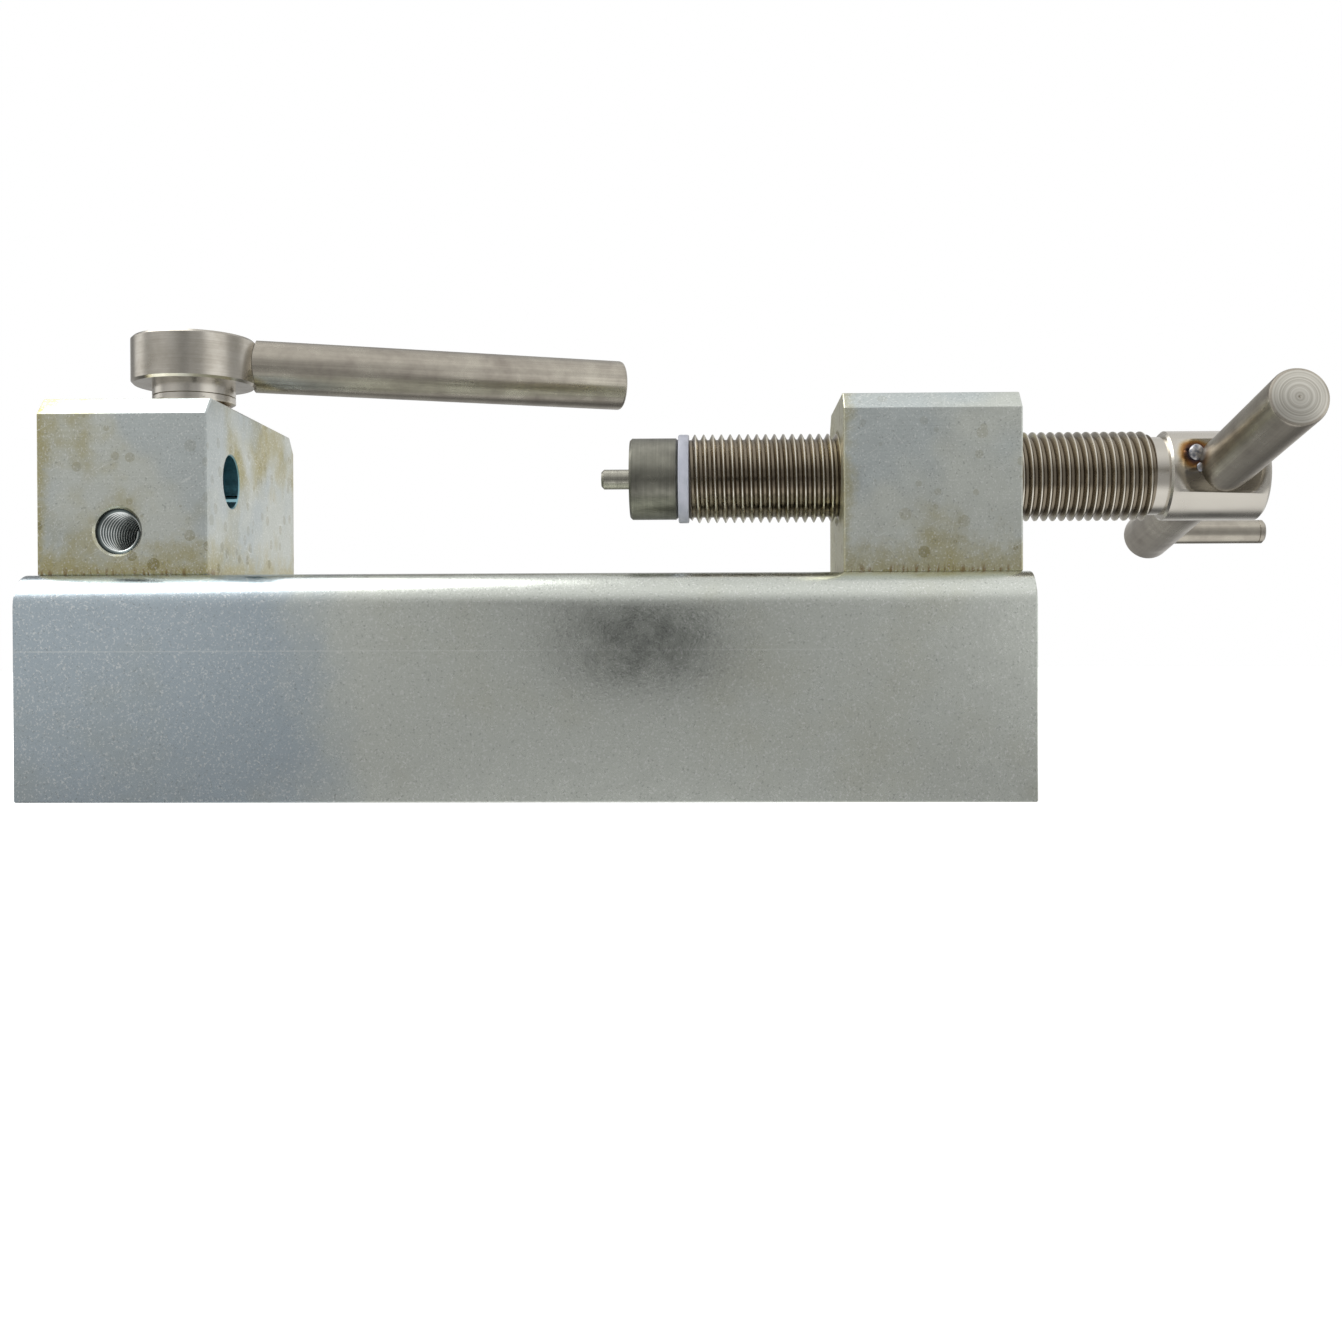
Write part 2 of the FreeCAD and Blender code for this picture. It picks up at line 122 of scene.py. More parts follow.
class VISE_PG_colours(bpy.types.PropertyGroup):
    """Colours of the vise's finishes."""

    zinc: colour("Zinc", "Bright zinc plate", "#D6DAD2")
    zinc_blue: colour("Blue passivation", "Bluish film on the zinc plate", "#B5C2CB")
    straw: colour("Straw passivation", "Yellow-green film on the zinc plate", "#B9B07C")
    rust: colour("Rust", "Brown streaks along the blocks' lower edges", "#8A6B45")
    turned: colour("Turned stainless", "The hub", "#CFCAC0")
    drawn: colour("Drawn stainless", "The bars", "#C6C0B2")
    # Thread colours: the crest colour is a painted highlight, and the root colour is painted shade in the roots
    crest: colour("Thread crest", "Burnished crests of the cut threads", "#DDD7CA")
    thread: colour("Thread flank", "Flanks of the cut threads", "#C4BCAC")
    painted_root_shade: colour("Thread root", "Oily roots of the cut threads", "#8A8070")
    tool_steel: colour("Tool steel", "The press head", "#98978B")
    washer: colour("Washer plastic", "The thrust washer", "#ACAEB8")


# --- Small helpers ------------------------------------------------------------------------------

def sizes():
    return bpy.context.scene.vise_sizes


def colours():
    return bpy.context.scene.vise_colours


def take(piece):
    """Deselect everything, then select one piece and make it active."""
    bpy.ops.object.select_all(action="DESELECT")
    piece.select_set(True)
    bpy.context.view_layer.objects.active = piece


def apply_place(piece):
    take(piece)
    bpy.ops.object.transform_apply(location=True, rotation=True, scale=True)


def apply_modifier(piece, kind, **settings):
    """Add one modifier, set it and apply it."""
    take(piece)
    modifier = piece.modifiers.new(kind, kind)
    for name, value in settings.items():
        setattr(modifier, name, value)
    bpy.ops.object.modifier_apply(modifier=modifier.name)


def cut(piece, tool, operation="DIFFERENCE"):
    """Cut one piece with another, or join them, and throw the tool away."""
    apply_modifier(piece, "BOOLEAN", object=tool, operation=operation, solver="EXACT")
    bpy.data.objects.remove(tool)


def recalculate(piece):
    take(piece)
    bpy.ops.object.mode_set(mode="EDIT")
    bpy.ops.mesh.select_all(action="SELECT")
    bpy.ops.mesh.remove_doubles(threshold=1e-7)
    bpy.ops.mesh.normals_make_consistent(inside=False)
    bpy.ops.object.mode_set(mode="OBJECT")


def smooth(piece, degrees=32):
    take(piece)
    bpy.ops.object.shade_smooth_by_angle(angle=math.radians(degrees))


def hand_over(piece, body, slot, finish, *nodes):
    """Give a finished piece its finish and body, and hide the solids that it stands for."""
    apply_place(piece)
    piece.data.materials.clear()
    piece.data.materials.append(finish)
    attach(piece, body)
    if nodes:
        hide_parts(*nodes)


def turned(name, outline, start, axis, hollow=False, facets=None):
    """A ring drawn out along its axis through every (radius, distance) pair of the outline.

    A solid piece is closed by its first and last discs. A hollow one ends at its first ring.
    """
    radius, distance = outline[0]
    bpy.ops.object.select_all(action="DESELECT")
    bpy.ops.mesh.primitive_circle_add(vertices=facets or sizes().facets, radius=radius,
                                      fill_type="NOTHING" if hollow else "NGON",
                                      location=(0, 0, distance))
    piece = bpy.context.object
    piece.name = piece.data.name = name
    apply_place(piece)
    bpy.ops.object.mode_set(mode="EDIT")
    bpy.ops.mesh.select_all(action="SELECT")
    for next_radius, next_distance in outline[1:] + (outline[:1] if hollow else []):
        step = (0, 0, next_distance - distance)
        bpy.ops.mesh.extrude_region_move(TRANSFORM_OT_translate={"value": step})
        share = next_radius / radius
        bpy.ops.transform.resize(value=(share, share, 1), center_override=(0, 0, next_distance))
        radius, distance = next_radius, next_distance
    bpy.ops.object.mode_set(mode="OBJECT")
    recalculate(piece)
    turn = Z_AXIS.rotation_difference(axis).to_matrix().to_4x4()
    piece.matrix_world = Matrix.Translation(start) @ turn
    apply_place(piece)
    return piece


def box_piece(name, low, high):
    """A cube at its size and place, its place applied."""
    bpy.ops.object.select_all(action="DESELECT")
    bpy.ops.mesh.primitive_cube_add(size=1, location=(low + high) / 2, scale=high - low)
    piece = bpy.context.object
    piece.name = piece.data.name = name
    apply_place(piece)
    return piece


def select_edges(piece, wanted):
    """Select the edges whose two ends pass the test, in edge mode."""
    take(piece)
    bpy.ops.object.mode_set(mode="EDIT")
    bpy.ops.mesh.select_mode(type="EDGE")
    bpy.ops.mesh.select_all(action="DESELECT")
    bpy.ops.object.mode_set(mode="OBJECT")
    points = piece.data.vertices
    for edge in piece.data.edges:
        edge.select = wanted(points[edge.vertices[0]].co, points[edge.vertices[1]].co)
    bpy.ops.object.mode_set(mode="EDIT")


def select_faces(piece, wanted):
    """Select the faces whose centre and normal pass the test, in face mode."""
    take(piece)
    bpy.ops.object.mode_set(mode="EDIT")
    bpy.ops.mesh.select_mode(type="FACE")
    bpy.ops.mesh.select_all(action="DESELECT")
    bpy.ops.object.mode_set(mode="OBJECT")
    for face in piece.data.polygons:
        face.select = wanted(face.center, face.normal)
    bpy.ops.object.mode_set(mode="EDIT")


def helix(name, profile, pitch, turns, steps, closed=False):
    """A thread: a profile of (radius, distance) points wound up along Z."""
    bpy.ops.object.select_all(action="DESELECT")
    bpy.ops.mesh.primitive_circle_add(vertices=len(profile), radius=1, fill_type="NOTHING")
    piece = bpy.context.object
    piece.name = piece.data.name = name
    for vertex, (radius, distance) in zip(piece.data.vertices, profile):
        vertex.co = (radius, 0, distance)
    if not closed:
        ends = {0, len(profile) - 1}
        bpy.ops.object.mode_set(mode="EDIT")
        bpy.ops.mesh.select_mode(type="EDGE")
        bpy.ops.mesh.select_all(action="DESELECT")
        bpy.ops.object.mode_set(mode="OBJECT")
        for edge in piece.data.edges:
            edge.select = set(edge.vertices) == ends
        bpy.ops.object.mode_set(mode="EDIT")
        bpy.ops.mesh.delete(type="EDGE")
        bpy.ops.object.mode_set(mode="OBJECT")
    apply_modifier(piece, "SCREW", axis="Z", angle=2 * math.pi, screw_offset=pitch, iterations=turns,
                   steps=steps, render_steps=steps, use_merge_vertices=False, use_smooth_shade=False)
    return piece


# --- Materials ----------------------------------------------------------------------------------

def add(tree, kind, inputs=None, **settings):
    """Add a shader node, set it up, and give each named input a value or a link."""
    node = tree.nodes.new("ShaderNode" + kind)
    for name, value in settings.items():
        setattr(node, name, value)
    for name, value in (inputs or {}).items():
        if isinstance(value, bpy.types.NodeSocket):
            tree.links.new(value, node.inputs[name])
        else:
            node.inputs[name].default_value = value
    return node


def per(size):
    """Texture scale that gives features of a size in millimetres."""
    return 1000 / size


def new_finish(name, metallic, roughness):
    """An empty finish: its material, node tree, shader and place on the piece."""
    material = bpy.data.materials.new(name)
    material.use_nodes = True
    tree = material.node_tree
    shader = tree.nodes["Principled BSDF"]
    shader.inputs["Metallic"].default_value = metallic
    shader.inputs["Roughness"].default_value = roughness
    return material, tree, shader, add(tree, "TexCoord").outputs["Object"]


def blend_in(tree, share, first, second):
    """Colour that goes from the first to the second by a share."""
    node = add(tree, "Mix", {0: share, 6: first, 7: second}, data_type="RGBA")
    return node.outputs[2]


def speck(tree, place, size, start, end, strength=1.0):
    """Share that marks the tops of a fine noise: specks, painted glints and pits."""
    noise = add(tree, "TexNoise", {"Vector": place, "Scale": per(size), "Detail": 2, "Roughness": 0.5})
    return add(tree, "MapRange", {"Value": noise.outputs[0], "From Min": start, "From Max": end,
                                  "To Max": strength}).outputs[0]


def both(tree, first, second, operation="MULTIPLY"):
    return add(tree, "Math", {0: first, 1: second}, operation=operation, use_clamp=True).outputs[0]


def band(tree, value, start, end, strength=1.0):
    """Share that rises from nothing at the start to its strength at the end."""
    return add(tree, "MapRange", {"Value": value, "From Min": start, "From Max": end,
                                  "To Max": strength}, interpolation_type="SMOOTHSTEP").outputs[0]


def wide_clouds(tree, place):
    return add(tree, "TexNoise", {"Vector": place, "Scale": per(24), "Detail": 2, "W": 3.0},
               noise_dimensions="4D").outputs[0]


def zinc_plated(name, blue_left, stained, milled, corner=None, bore_axis=None, low=0.27, high=0.40,
                seam=None):
    """Bright zinc plate, electroplated and passivated: a grey satin metal whose thin film shows
    blue in some places and straw yellow in others, with dried drops, specks and fine scratches."""
    tints = colours()
    material, tree, shader, place = new_finish(name, 1.0, 0.36)
    spot = add(tree, "SeparateXYZ", {0: place})
    clouds = add(tree, "TexNoise", {"Vector": place, "Scale": per(30), "Detail": 4, "Roughness": 0.6})
    grain = add(tree, "TexNoise", {"Vector": place, "Scale": per(0.9), "Detail": 3, "Roughness": 0.6})
    wide_grain = add(tree, "TexNoise", {"Vector": place, "Scale": per(5), "Detail": 5, "Roughness": 0.65})
    # Blue film, thicker towards the left end.
    drift = add(tree, "Math", {0: clouds.outputs[0], 1: 0.05, 2: spot.outputs["X"]}, operation="MULTIPLY_ADD")
    left = band(tree, drift.outputs[0], blue_left + 0.012, blue_left - 0.012, 0.9)
    skin = blend_in(tree, left, tints.zinc, tints.zinc_blue)
    # Straw film in clouds.
    skin = blend_in(tree, band(tree, clouds.outputs[0], 0.5, 0.72, stained), skin, tints.straw)
    if corner is not None:
        # Stains that gather along the lower and the left edge, with dried drops and rust.
        reach = add(tree, "Math", {0: wide_grain.outputs[0], 1: 16 * MM, 2: spot.outputs["Z"]},
                    operation="MULTIPLY_ADD")
        foot_film = band(tree, reach.outputs[0], corner.z + 18 * MM, corner.z + 8 * MM, 0.9)
        side = add(tree, "Math", {0: wide_grain.outputs[0], 1: 7 * MM, 2: spot.outputs["X"]},
                   operation="MULTIPLY_ADD")
        near = band(tree, side.outputs[0], corner.x + 7 * MM, corner.x + 3.5 * MM, 0.8)
        gathered = both(tree, foot_film, near, "MAXIMUM")
        skin = blend_in(tree, both(tree, gathered, stained), skin, tints.straw)
        drops = add(tree, "TexVoronoi", {"Vector": place, "Scale": per(4.2), "Randomness": 1.0},
                    feature="F1")
        picked = add(tree, "SeparateColor", {0: drops.outputs["Color"]})
        size = add(tree, "Math", {0: picked.outputs[0], 1: 0.42, 2: -0.05}, operation="MULTIPLY_ADD")
        inside = add(tree, "Math", {0: drops.outputs["Distance"], 1: size.outputs[0]}, operation="LESS_THAN")
        area = add(tree, "Math", {0: gathered, 1: 0.4}, operation="ADD", use_clamp=True)
        skin = blend_in(tree, both(tree, both(tree, inside.outputs[0], area.outputs[0]), 0.7 * stained),
                        skin, tone("#948A58"))
        # Blue film in the middle of the faces, where the stains leave off.
        middle = band(tree, wide_clouds(tree, place), 0.47, 0.62, 0.4)
        clear = add(tree, "Math", {0: 1.0, 1: gathered}, operation="SUBTRACT", use_clamp=True)
        skin = blend_in(tree, both(tree, middle, clear.outputs[0]), skin, tints.zinc_blue)
        streaks = add(tree, "Mapping", {"Vector": place, "Scale": (per(0.9), per(0.9), per(5))})
        drip = speck(tree, streaks.outputs[0], 1000, 0.50, 0.60)
        foot = band(tree, spot.outputs["Z"], corner.z + 2.2 * MM, corner.z + 0.3 * MM, 0.7)
        skin = blend_in(tree, both(tree, drip, foot), skin, tints.rust)
    # Painted glints: bright specks that stand for the sparkle of the grain; and darker pits.
    skin = blend_in(tree, speck(tree, place, 0.45, 0.56, 0.70, 0.5), skin, tone("#FAFBF8"))
    skin = blend_in(tree, speck(tree, place, 0.5, 0.60, 0.75, 0.4), skin, tone("#7C817D"))
    # Fine scratches in three directions, broken up.
    for turn, spread in ((0.5, 0.68), (-0.9, 0.69), (1.35, 0.70)):
        lie = add(tree, "Mapping", {"Vector": place, "Rotation": (0, turn, 0)})
        draw = add(tree, "Mapping", {"Vector": lie.outputs[0], "Scale": (per(6), per(6), per(0.22))})
        mark = speck(tree, draw.outputs[0], 1000, spread, spread + 0.05, 0.4)
        skin = blend_in(tree, mark, skin, tone("#F6F8F4"))
    if seam is not None:
        # A faint straight mark that the folding tool left along the flange.
        off = add(tree, "Math", {0: spot.outputs["Z"], 1: seam.z}, operation="SUBTRACT")
        off = add(tree, "Math", {0: off.outputs[0]}, operation="ABSOLUTE")
        mark = both(tree, band(tree, off.outputs[0], 0.22 * MM, 0.08 * MM, 0.5),
                    band(tree, spot.outputs["X"], seam.x + 6 * MM, seam.x - 4 * MM))
        skin = blend_in(tree, both(tree, mark, wide_grain.outputs[0]), skin, tone("#F6F8F4"))
    if bore_axis is not None:
        # The film in the bore is thick and blue.
        across = add(tree, "VectorMath", {0: place, 1: bore_axis}, operation="SUBTRACT")
        flat = add(tree, "VectorMath", {0: across.outputs[0], 1: (0, 1, 1)}, operation="MULTIPLY")
        away = add(tree, "VectorMath", {0: flat.outputs[0]}, operation="LENGTH")
        within = band(tree, away.outputs["Value"], 6.35 * MM, 6.1 * MM, 0.9)
        skin = blend_in(tree, within, skin, tone("#8CBCC8"))
    tree.links.new(skin, shader.inputs["Base Color"])
    rough = add(tree, "MapRange", {"Value": wide_grain.outputs[0], "From Min": 0.3, "From Max": 0.7,
                                   "To Min": low, "To Max": high})
    tree.links.new(rough.outputs[0], shader.inputs["Roughness"])
    # Skin relief: the mottled grain, and on milled faces the cutter's lines.
    relief = add(tree, "Math", {0: wide_grain.outputs[0], 1: 1.2, 2: grain.outputs[0]}, operation="MULTIPLY_ADD")
    if milled:
        lines = add(tree, "Mapping", {"Vector": place, "Scale": (per(60), per(60), per(0.6))})
        cutter = add(tree, "TexNoise", {"Vector": lines.outputs[0], "Scale": 1.0, "Detail": 2})
        relief = add(tree, "Math", {0: cutter.outputs[0], 1: milled, 2: relief.outputs[0]},
                     operation="MULTIPLY_ADD")
    bump = add(tree, "Bump", {"Height": relief.outputs[0], "Strength": 1.0, "Distance": 0.02 * MM})
    tree.links.new(bump.outputs[0], shader.inputs["Normal"])
    return material


def lathe_turned(name, shine, dark, axis_letter, line_size, low, high, depth=0.012):
    """Metal turned on a lathe: fine rings round the axis that draw the light into bands."""
    material, tree, shader, place = new_finish(name, 1.0, low)
    fine = {"X": (per(line_size), per(30), per(30)), "Y": (per(30), per(line_size), per(30)),
            "Z": (per(30), per(30), per(line_size))}[axis_letter]
    rings = add(tree, "Mapping", {"Vector": place, "Scale": fine})
    ring = add(tree, "TexNoise", {"Vector": rings.outputs[0], "Scale": 1.0, "Detail": 4, "Roughness": 0.7})
    smear = add(tree, "TexNoise", {"Vector": place, "Scale": per(7), "Detail": 4, "Roughness": 0.6})
    mixed = add(tree, "Math", {0: ring.outputs[0], 1: 0.5, 2: smear.outputs[0]}, operation="MULTIPLY_ADD")
    share = add(tree, "MapRange", {"Value": mixed.outputs[0], "From Min": 0.55, "From Max": 0.95})
    tree.links.new(blend_in(tree, share.outputs[0], shine, dark), shader.inputs["Base Color"])
    rough = add(tree, "MapRange", {"Value": mixed.outputs[0], "From Min": 0.5, "From Max": 1.0,
                                   "To Min": low, "To Max": high})
    tree.links.new(rough.outputs[0], shader.inputs["Roughness"])
    bump = add(tree, "Bump", {"Height": ring.outputs[0], "Strength": 1.0, "Distance": depth * MM})
    tree.links.new(bump.outputs[0], shader.inputs["Normal"])
    return material


def drawn_bar(name, axis, low, high, sawn_end=None):
    """Drawn stainless bar: long faint draw lines along the bar, handled and slightly brown, and
    faced rings on its end."""
    tints = colours()
    material, tree, shader, place = new_finish(name, 1.0, low)
    turn = Vector(axis).rotation_difference(X_AXIS).to_euler()
    along = add(tree, "Mapping", {"Vector": place, "Rotation": turn})
    lines = add(tree, "Mapping", {"Vector": along.outputs[0], "Scale": (per(45), per(0.45), per(0.45))})
    line = add(tree, "TexNoise", {"Vector": lines.outputs[0], "Scale": 1.0, "Detail": 3, "Roughness": 0.6})
    smear = add(tree, "TexNoise", {"Vector": place, "Scale": per(9), "Detail": 5, "Roughness": 0.65})
    mixed = add(tree, "Math", {0: line.outputs[0], 1: 0.4, 2: smear.outputs[0]}, operation="MULTIPLY_ADD")
    share = add(tree, "MapRange", {"Value": mixed.outputs[0], "From Min": 0.50, "From Max": 0.95})
    worn = blend_in(tree, share.outputs[0], tints.drawn, tone("#9C948A"))
    height = line.outputs[0]
    if sawn_end is not None:
        from_end = add(tree, "VectorMath", {0: place, 1: sawn_end}, operation="SUBTRACT")
        past = add(tree, "VectorMath", {0: from_end.outputs[0], 1: axis}, operation="DOT_PRODUCT")
        faced = add(tree, "MapRange", {"Value": past.outputs["Value"], "From Min": 0, "From Max": 0.05 * MM})
        out = add(tree, "VectorMath", {0: from_end.outputs[0], 1: axis}, operation="CROSS_PRODUCT")
        radial = add(tree, "VectorMath", {0: out.outputs[0]}, operation="LENGTH")
        ring = add(tree, "TexNoise", {"W": radial.outputs["Value"], "Scale": per(0.5), "Detail": 2},
                   noise_dimensions="1D")
        turned_rings = blend_in(tree, band(tree, ring.outputs[0], 0.35, 0.65), tone("#DEDBD1"), tone("#C0BCB1"))
        worn = blend_in(tree, faced.outputs[0], worn, turned_rings)
        height = add(tree, "Mix", {0: faced.outputs[0], 2: line.outputs[0], 3: ring.outputs[0]}).outputs[0]
    tree.links.new(worn, shader.inputs["Base Color"])
    rough = add(tree, "MapRange", {"Value": mixed.outputs[0], "From Min": 0.5, "From Max": 1.0,
                                   "To Min": low, "To Max": high})
    tree.links.new(rough.outputs[0], shader.inputs["Roughness"])
    bump = add(tree, "Bump", {"Height": height, "Strength": 1.0, "Distance": 0.012 * MM})
    tree.links.new(bump.outputs[0], shader.inputs["Normal"])
    return material


def heat_tint(tree, place, skin, weld_place):
    """Temper colours round a weld: blue-grey next to it, then purple, brown and straw."""
    away = add(tree, "VectorMath", {0: place, 1: weld_place}, operation="DISTANCE")
    wander = add(tree, "TexNoise", {"Vector": place, "Scale": per(2.5), "Detail": 3})
    drift = add(tree, "Math", {0: wander.outputs[0], 1: 1.2 * MM, 2: away.outputs["Value"]},
                operation="MULTIPLY_ADD")
    reach = add(tree, "MapRange", {"Value": drift.outputs[0], "From Min": 1.8 * MM, "From Max": 5.2 * MM})
    ramp = add(tree, "ValToRGB", {0: reach.outputs[0]})
    stops = ((0.0, "#7C8088"), (0.13, "#6C6B7C"), (0.30, "#80605A"), (0.52, "#B07E4C"), (0.75, "#C6A56C"))
    elements = ramp.color_ramp.elements
    elements[0].position, elements[0].color = stops[0][0], tone(stops[0][1])
    elements[1].position, elements[1].color = 1.0, tone("#D8CDB0")
    for position, code in stops[1:]:
        elements.new(position).color = tone(code)
    fade = add(tree, "MapRange", {"Value": reach.outputs[0], "From Min": 0.6, "From Max": 1.0})
    return blend_in(tree, fade.outputs[0], ramp.outputs[0], skin)


def cut_thread(name, axis_letter, centre, crest=9.95 * MM, root=8.8 * MM, weld_place=None,
               head_from=None, tints=None):
    """Thread cut on a lathe or with a tap, coloured by distance from its axis: thin crests with a painted
    highlight, and roots darkened with painted shade.
    """
    bright, flank, dark = tints or (colours().crest, colours().thread, colours().painted_root_shade)
    material, tree, shader, place = new_finish(name, 1.0, 0.3)
    across = {"X": (0, 1, 1), "Y": (1, 0, 1), "Z": (1, 1, 0)}[axis_letter]
    centred = add(tree, "VectorMath", {0: place, 1: centre}, operation="SUBTRACT")
    flat = add(tree, "VectorMath", {0: centred.outputs[0], 1: across}, operation="MULTIPLY")
    away = add(tree, "VectorMath", {0: flat.outputs[0]}, operation="LENGTH")
    height = add(tree, "MapRange", {"Value": away.outputs["Value"], "From Min": root, "From Max": crest})
    smear = add(tree, "TexNoise", {"Vector": place, "Scale": per(7), "Detail": 2, "Roughness": 0.5})
    rise = add(tree, "Math", {0: smear.outputs[0], 1: 0.25, 2: height.outputs[0]}, operation="MULTIPLY_ADD")
    share = add(tree, "MapRange", {"Value": rise.outputs[0], "From Min": 0.1, "From Max": 1.0})
    # Painted shade: darker from the flanks down into the roots.
    skin = blend_in(tree, share.outputs[0], dark, flank)
    # Painted highlight: the crests brighten towards their tops.
    painted_crest_highlight = add(tree, "MapRange", {"Value": height.outputs[0], "From Min": 0.86, "From Max": 0.98})
    skin = blend_in(tree, painted_crest_highlight.outputs[0], skin, bright)
    if head_from is not None:
        spot = add(tree, "SeparateXYZ", {0: place})
        plain = band(tree, spot.outputs[axis_letter], head_from - 0.2 * MM, head_from)
        skin = blend_in(tree, plain, skin, colours().turned)
    if weld_place is not None:
        skin = heat_tint(tree, place, skin, weld_place)
    tree.links.new(skin, shader.inputs["Base Color"])
    fine = {"X": (per(0.4), per(30), per(30)), "Y": (per(30), per(0.4), per(30)),
            "Z": (per(30), per(30), per(0.4))}[axis_letter]
    rings = add(tree, "Mapping", {"Vector": place, "Scale": fine})
    ring = add(tree, "TexNoise", {"Vector": rings.outputs[0], "Scale": 1.0, "Detail": 2})
    rough = add(tree, "MapRange", {"Value": smear.outputs[0], "From Min": 0.3, "From Max": 0.7,
                                   "To Min": 0.2, "To Max": 0.3})
    tree.links.new(rough.outputs[0], shader.inputs["Roughness"])
    bump = add(tree, "Bump", {"Height": ring.outputs[0], "Strength": 1.0, "Distance": 0.004 * MM})
    tree.links.new(bump.outputs[0], shader.inputs["Normal"])
    return material


def weld_metal(name, weld_place):
    """Weld bead: scaly melted stainless, blue-grey and pale grey."""
    material, tree, shader, place = new_finish(name, 1.0, 0.35)
    scale = add(tree, "TexNoise", {"Vector": place, "Scale": per(0.7), "Detail": 4})
    share = add(tree, "MapRange", {"Value": scale.outputs[0], "From Min": 0.35, "From Max": 0.65})
    skin = blend_in(tree, share.outputs[0], tone("#777A84"), tone("#C2BFBC"))
    tree.links.new(skin, shader.inputs["Base Color"])
    bump = add(tree, "Bump", {"Height": scale.outputs[0], "Strength": 1.0, "Distance": 0.08 * MM})
    tree.links.new(bump.outputs[0], shader.inputs["Normal"])
    return material


def speckled(name, first, second, size, metallic, low, high, depth):
    """A plain finish with a fine speckle, for small parts: blackened, sprung, ground or moulded."""
    material, tree, shader, place = new_finish(name, metallic, low)
    grain = add(tree, "TexNoise", {"Vector": place, "Scale": per(size), "Detail": 4, "Roughness": 0.6})
    share = add(tree, "MapRange", {"Value": grain.outputs[0], "From Min": 0.35, "From Max": 0.65})
    tree.links.new(blend_in(tree, share.outputs[0], first, second), shader.inputs["Base Color"])
    rough = add(tree, "MapRange", {"Value": grain.outputs[0], "From Min": 0.3, "From Max": 0.7,
                                   "To Min": low, "To Max": high})
    tree.links.new(rough.outputs[0], shader.inputs["Roughness"])
    bump = add(tree, "Bump", {"Height": grain.outputs[0], "Strength": 1.0, "Distance": depth * MM})
    tree.links.new(bump.outputs[0], shader.inputs["Normal"])
    return material


def dress(node, finish):
    """Give a carried-over solid its finish."""
    solid = frame["nodes"][node]
    if not solid.material_slots:
        solid.data.materials.append(finish)
    for slot in solid.material_slots:
        slot.material = finish


# --- Operators ----------------------------------------------------------------------------------

SOFTBOXES = (
    # direction, outer angle, inner angle, strength
    ((0.0, -1.0, 0.15), 85, 10, 0.31),
    ((0.0, -1.0, 0.25), 13, 4, -0.15),
    ((1.0, 0.1, 0.25), 75, 20, 0.30),
    ((0.87, -0.5, 0.05), 30, 6, 0.55),
    ((-1.0, -0.3, 0.25), 60, 15, 0.34),
    ((-0.98, 0.16, 0.1), 22, 6, 0.6),
    ((0.1, 0.0, 1.0), 75, 10, 0.60),
    ((-0.55, 0.05, 0.80), 33, 19, 3.0),
    ((0.5, 0.85, 0.1), 45, 15, 0.50),
    ((-0.3, 0.9, -0.2), 50, 15, 0.30),
    ((0.0, -0.25, -0.95), 50, 25, 0.85),
)
AMBIENT = 0.12


class VISE_OT_stage(bpy.types.Operator):
    """Floor, studio light and camera"""

    bl_idname = "vise.stage"
    bl_label = "Stage"

    def execute(self, context):
        scene = context.scene
        scene.view_settings.view_transform = "Standard"
        bpy.ops.object.select_all(action="DESELECT")
        bpy.ops.mesh.primitive_circle_add(vertices=64, radius=3.0, fill_type="NGON")
        floor = context.object
        floor.name = "studio_floor"
        material, tree, shader, place = new_finish("matte_white_floor", 0.0, 0.9)
        cloud = add(tree, "TexNoise", {"Vector": place, "Scale": per(300), "Detail": 2})
        paint = blend_in(tree, cloud.outputs[0], tone("#F4F4F4"), tone("#F8F8F8"))
        tree.links.new(paint, shader.inputs["Base Color"])
        shader.inputs["Emission Color"].default_value = (1, 1, 1, 1)
        shader.inputs["Emission Strength"].default_value = 0.62
        floor.data.materials.append(material)
        floor.visible_glossy = False

        world = bpy.data.worlds.new("light_tent")
        world.use_nodes = True
        scene.world = world
        tree = world.node_tree
        background = tree.nodes["Background"]
        background.inputs["Color"].default_value = (1, 1, 1, 1)
        ray = add(tree, "LightPath")
        look = add(tree, "TexCoord").outputs["Generated"]
        total = AMBIENT
        for direction, outer, inner, strength in SOFTBOXES:
            aim = add(tree, "VectorMath", {0: look, 1: Vector(direction).normalized()},
                      operation="DOT_PRODUCT")
            glow = add(tree, "MapRange", {"Value": aim.outputs["Value"],
                                          "From Min": math.cos(math.radians(outer)),
                                          "From Max": math.cos(math.radians(inner)),
                                          "To Max": strength}, interpolation_type="SMOOTHSTEP")
            total = add(tree, "Math", {0: glow.outputs[0], 1: total}, operation="ADD").outputs[0]
        level = add(tree, "Mix", {0: ray.outputs["Is Camera Ray"], 2: total, 3: 1.0})
        tree.links.new(level.outputs[0], background.inputs["Strength"])

        camera_data = bpy.data.cameras.new("bench_camera")
        camera_data.lens = 41.19
        camera_data.sensor_width = 36
        camera_data.clip_start, camera_data.clip_end = 0.01, 20
        camera = bpy.data.objects.new("bench_camera", camera_data)
        aim = Euler((math.pi / 2 - 0.01027, 0, 0.02647)).to_matrix() @ Matrix.Rotation(-0.0034, 3, "Z")
        camera.matrix_world = Matrix.Translation((3.93 * MM, -360.15 * MM, 31.37 * MM)) @ aim.to_4x4()
        scene.collection.objects.link(camera)
        scene.camera = camera

        bpy.ops.object.select_all(action="DESELECT")
        bpy.ops.mesh.primitive_plane_add(size=1, location=(3.9 * MM, -372 * MM, 27 * MM),
                                         rotation=(math.pi / 2, 0, 0))
        card = context.object
        card.name = "dark_card"
        card.scale = (98 * MM, 84 * MM, 1)
        apply_place(card)
        material, tree, shader, place = new_finish("black_felt", 0.0, 1.0)
        nap = add(tree, "TexNoise", {"Vector": place, "Scale": per(2), "Detail": 2})
        tree.links.new(blend_in(tree, nap.outputs[0], tone("#101010"), tone("#181818")),
                       shader.inputs["Base Color"])
        card.data.materials.append(material)
        card.visible_camera = card.visible_shadow = card.visible_diffuse = False
        return {"FINISHED"}


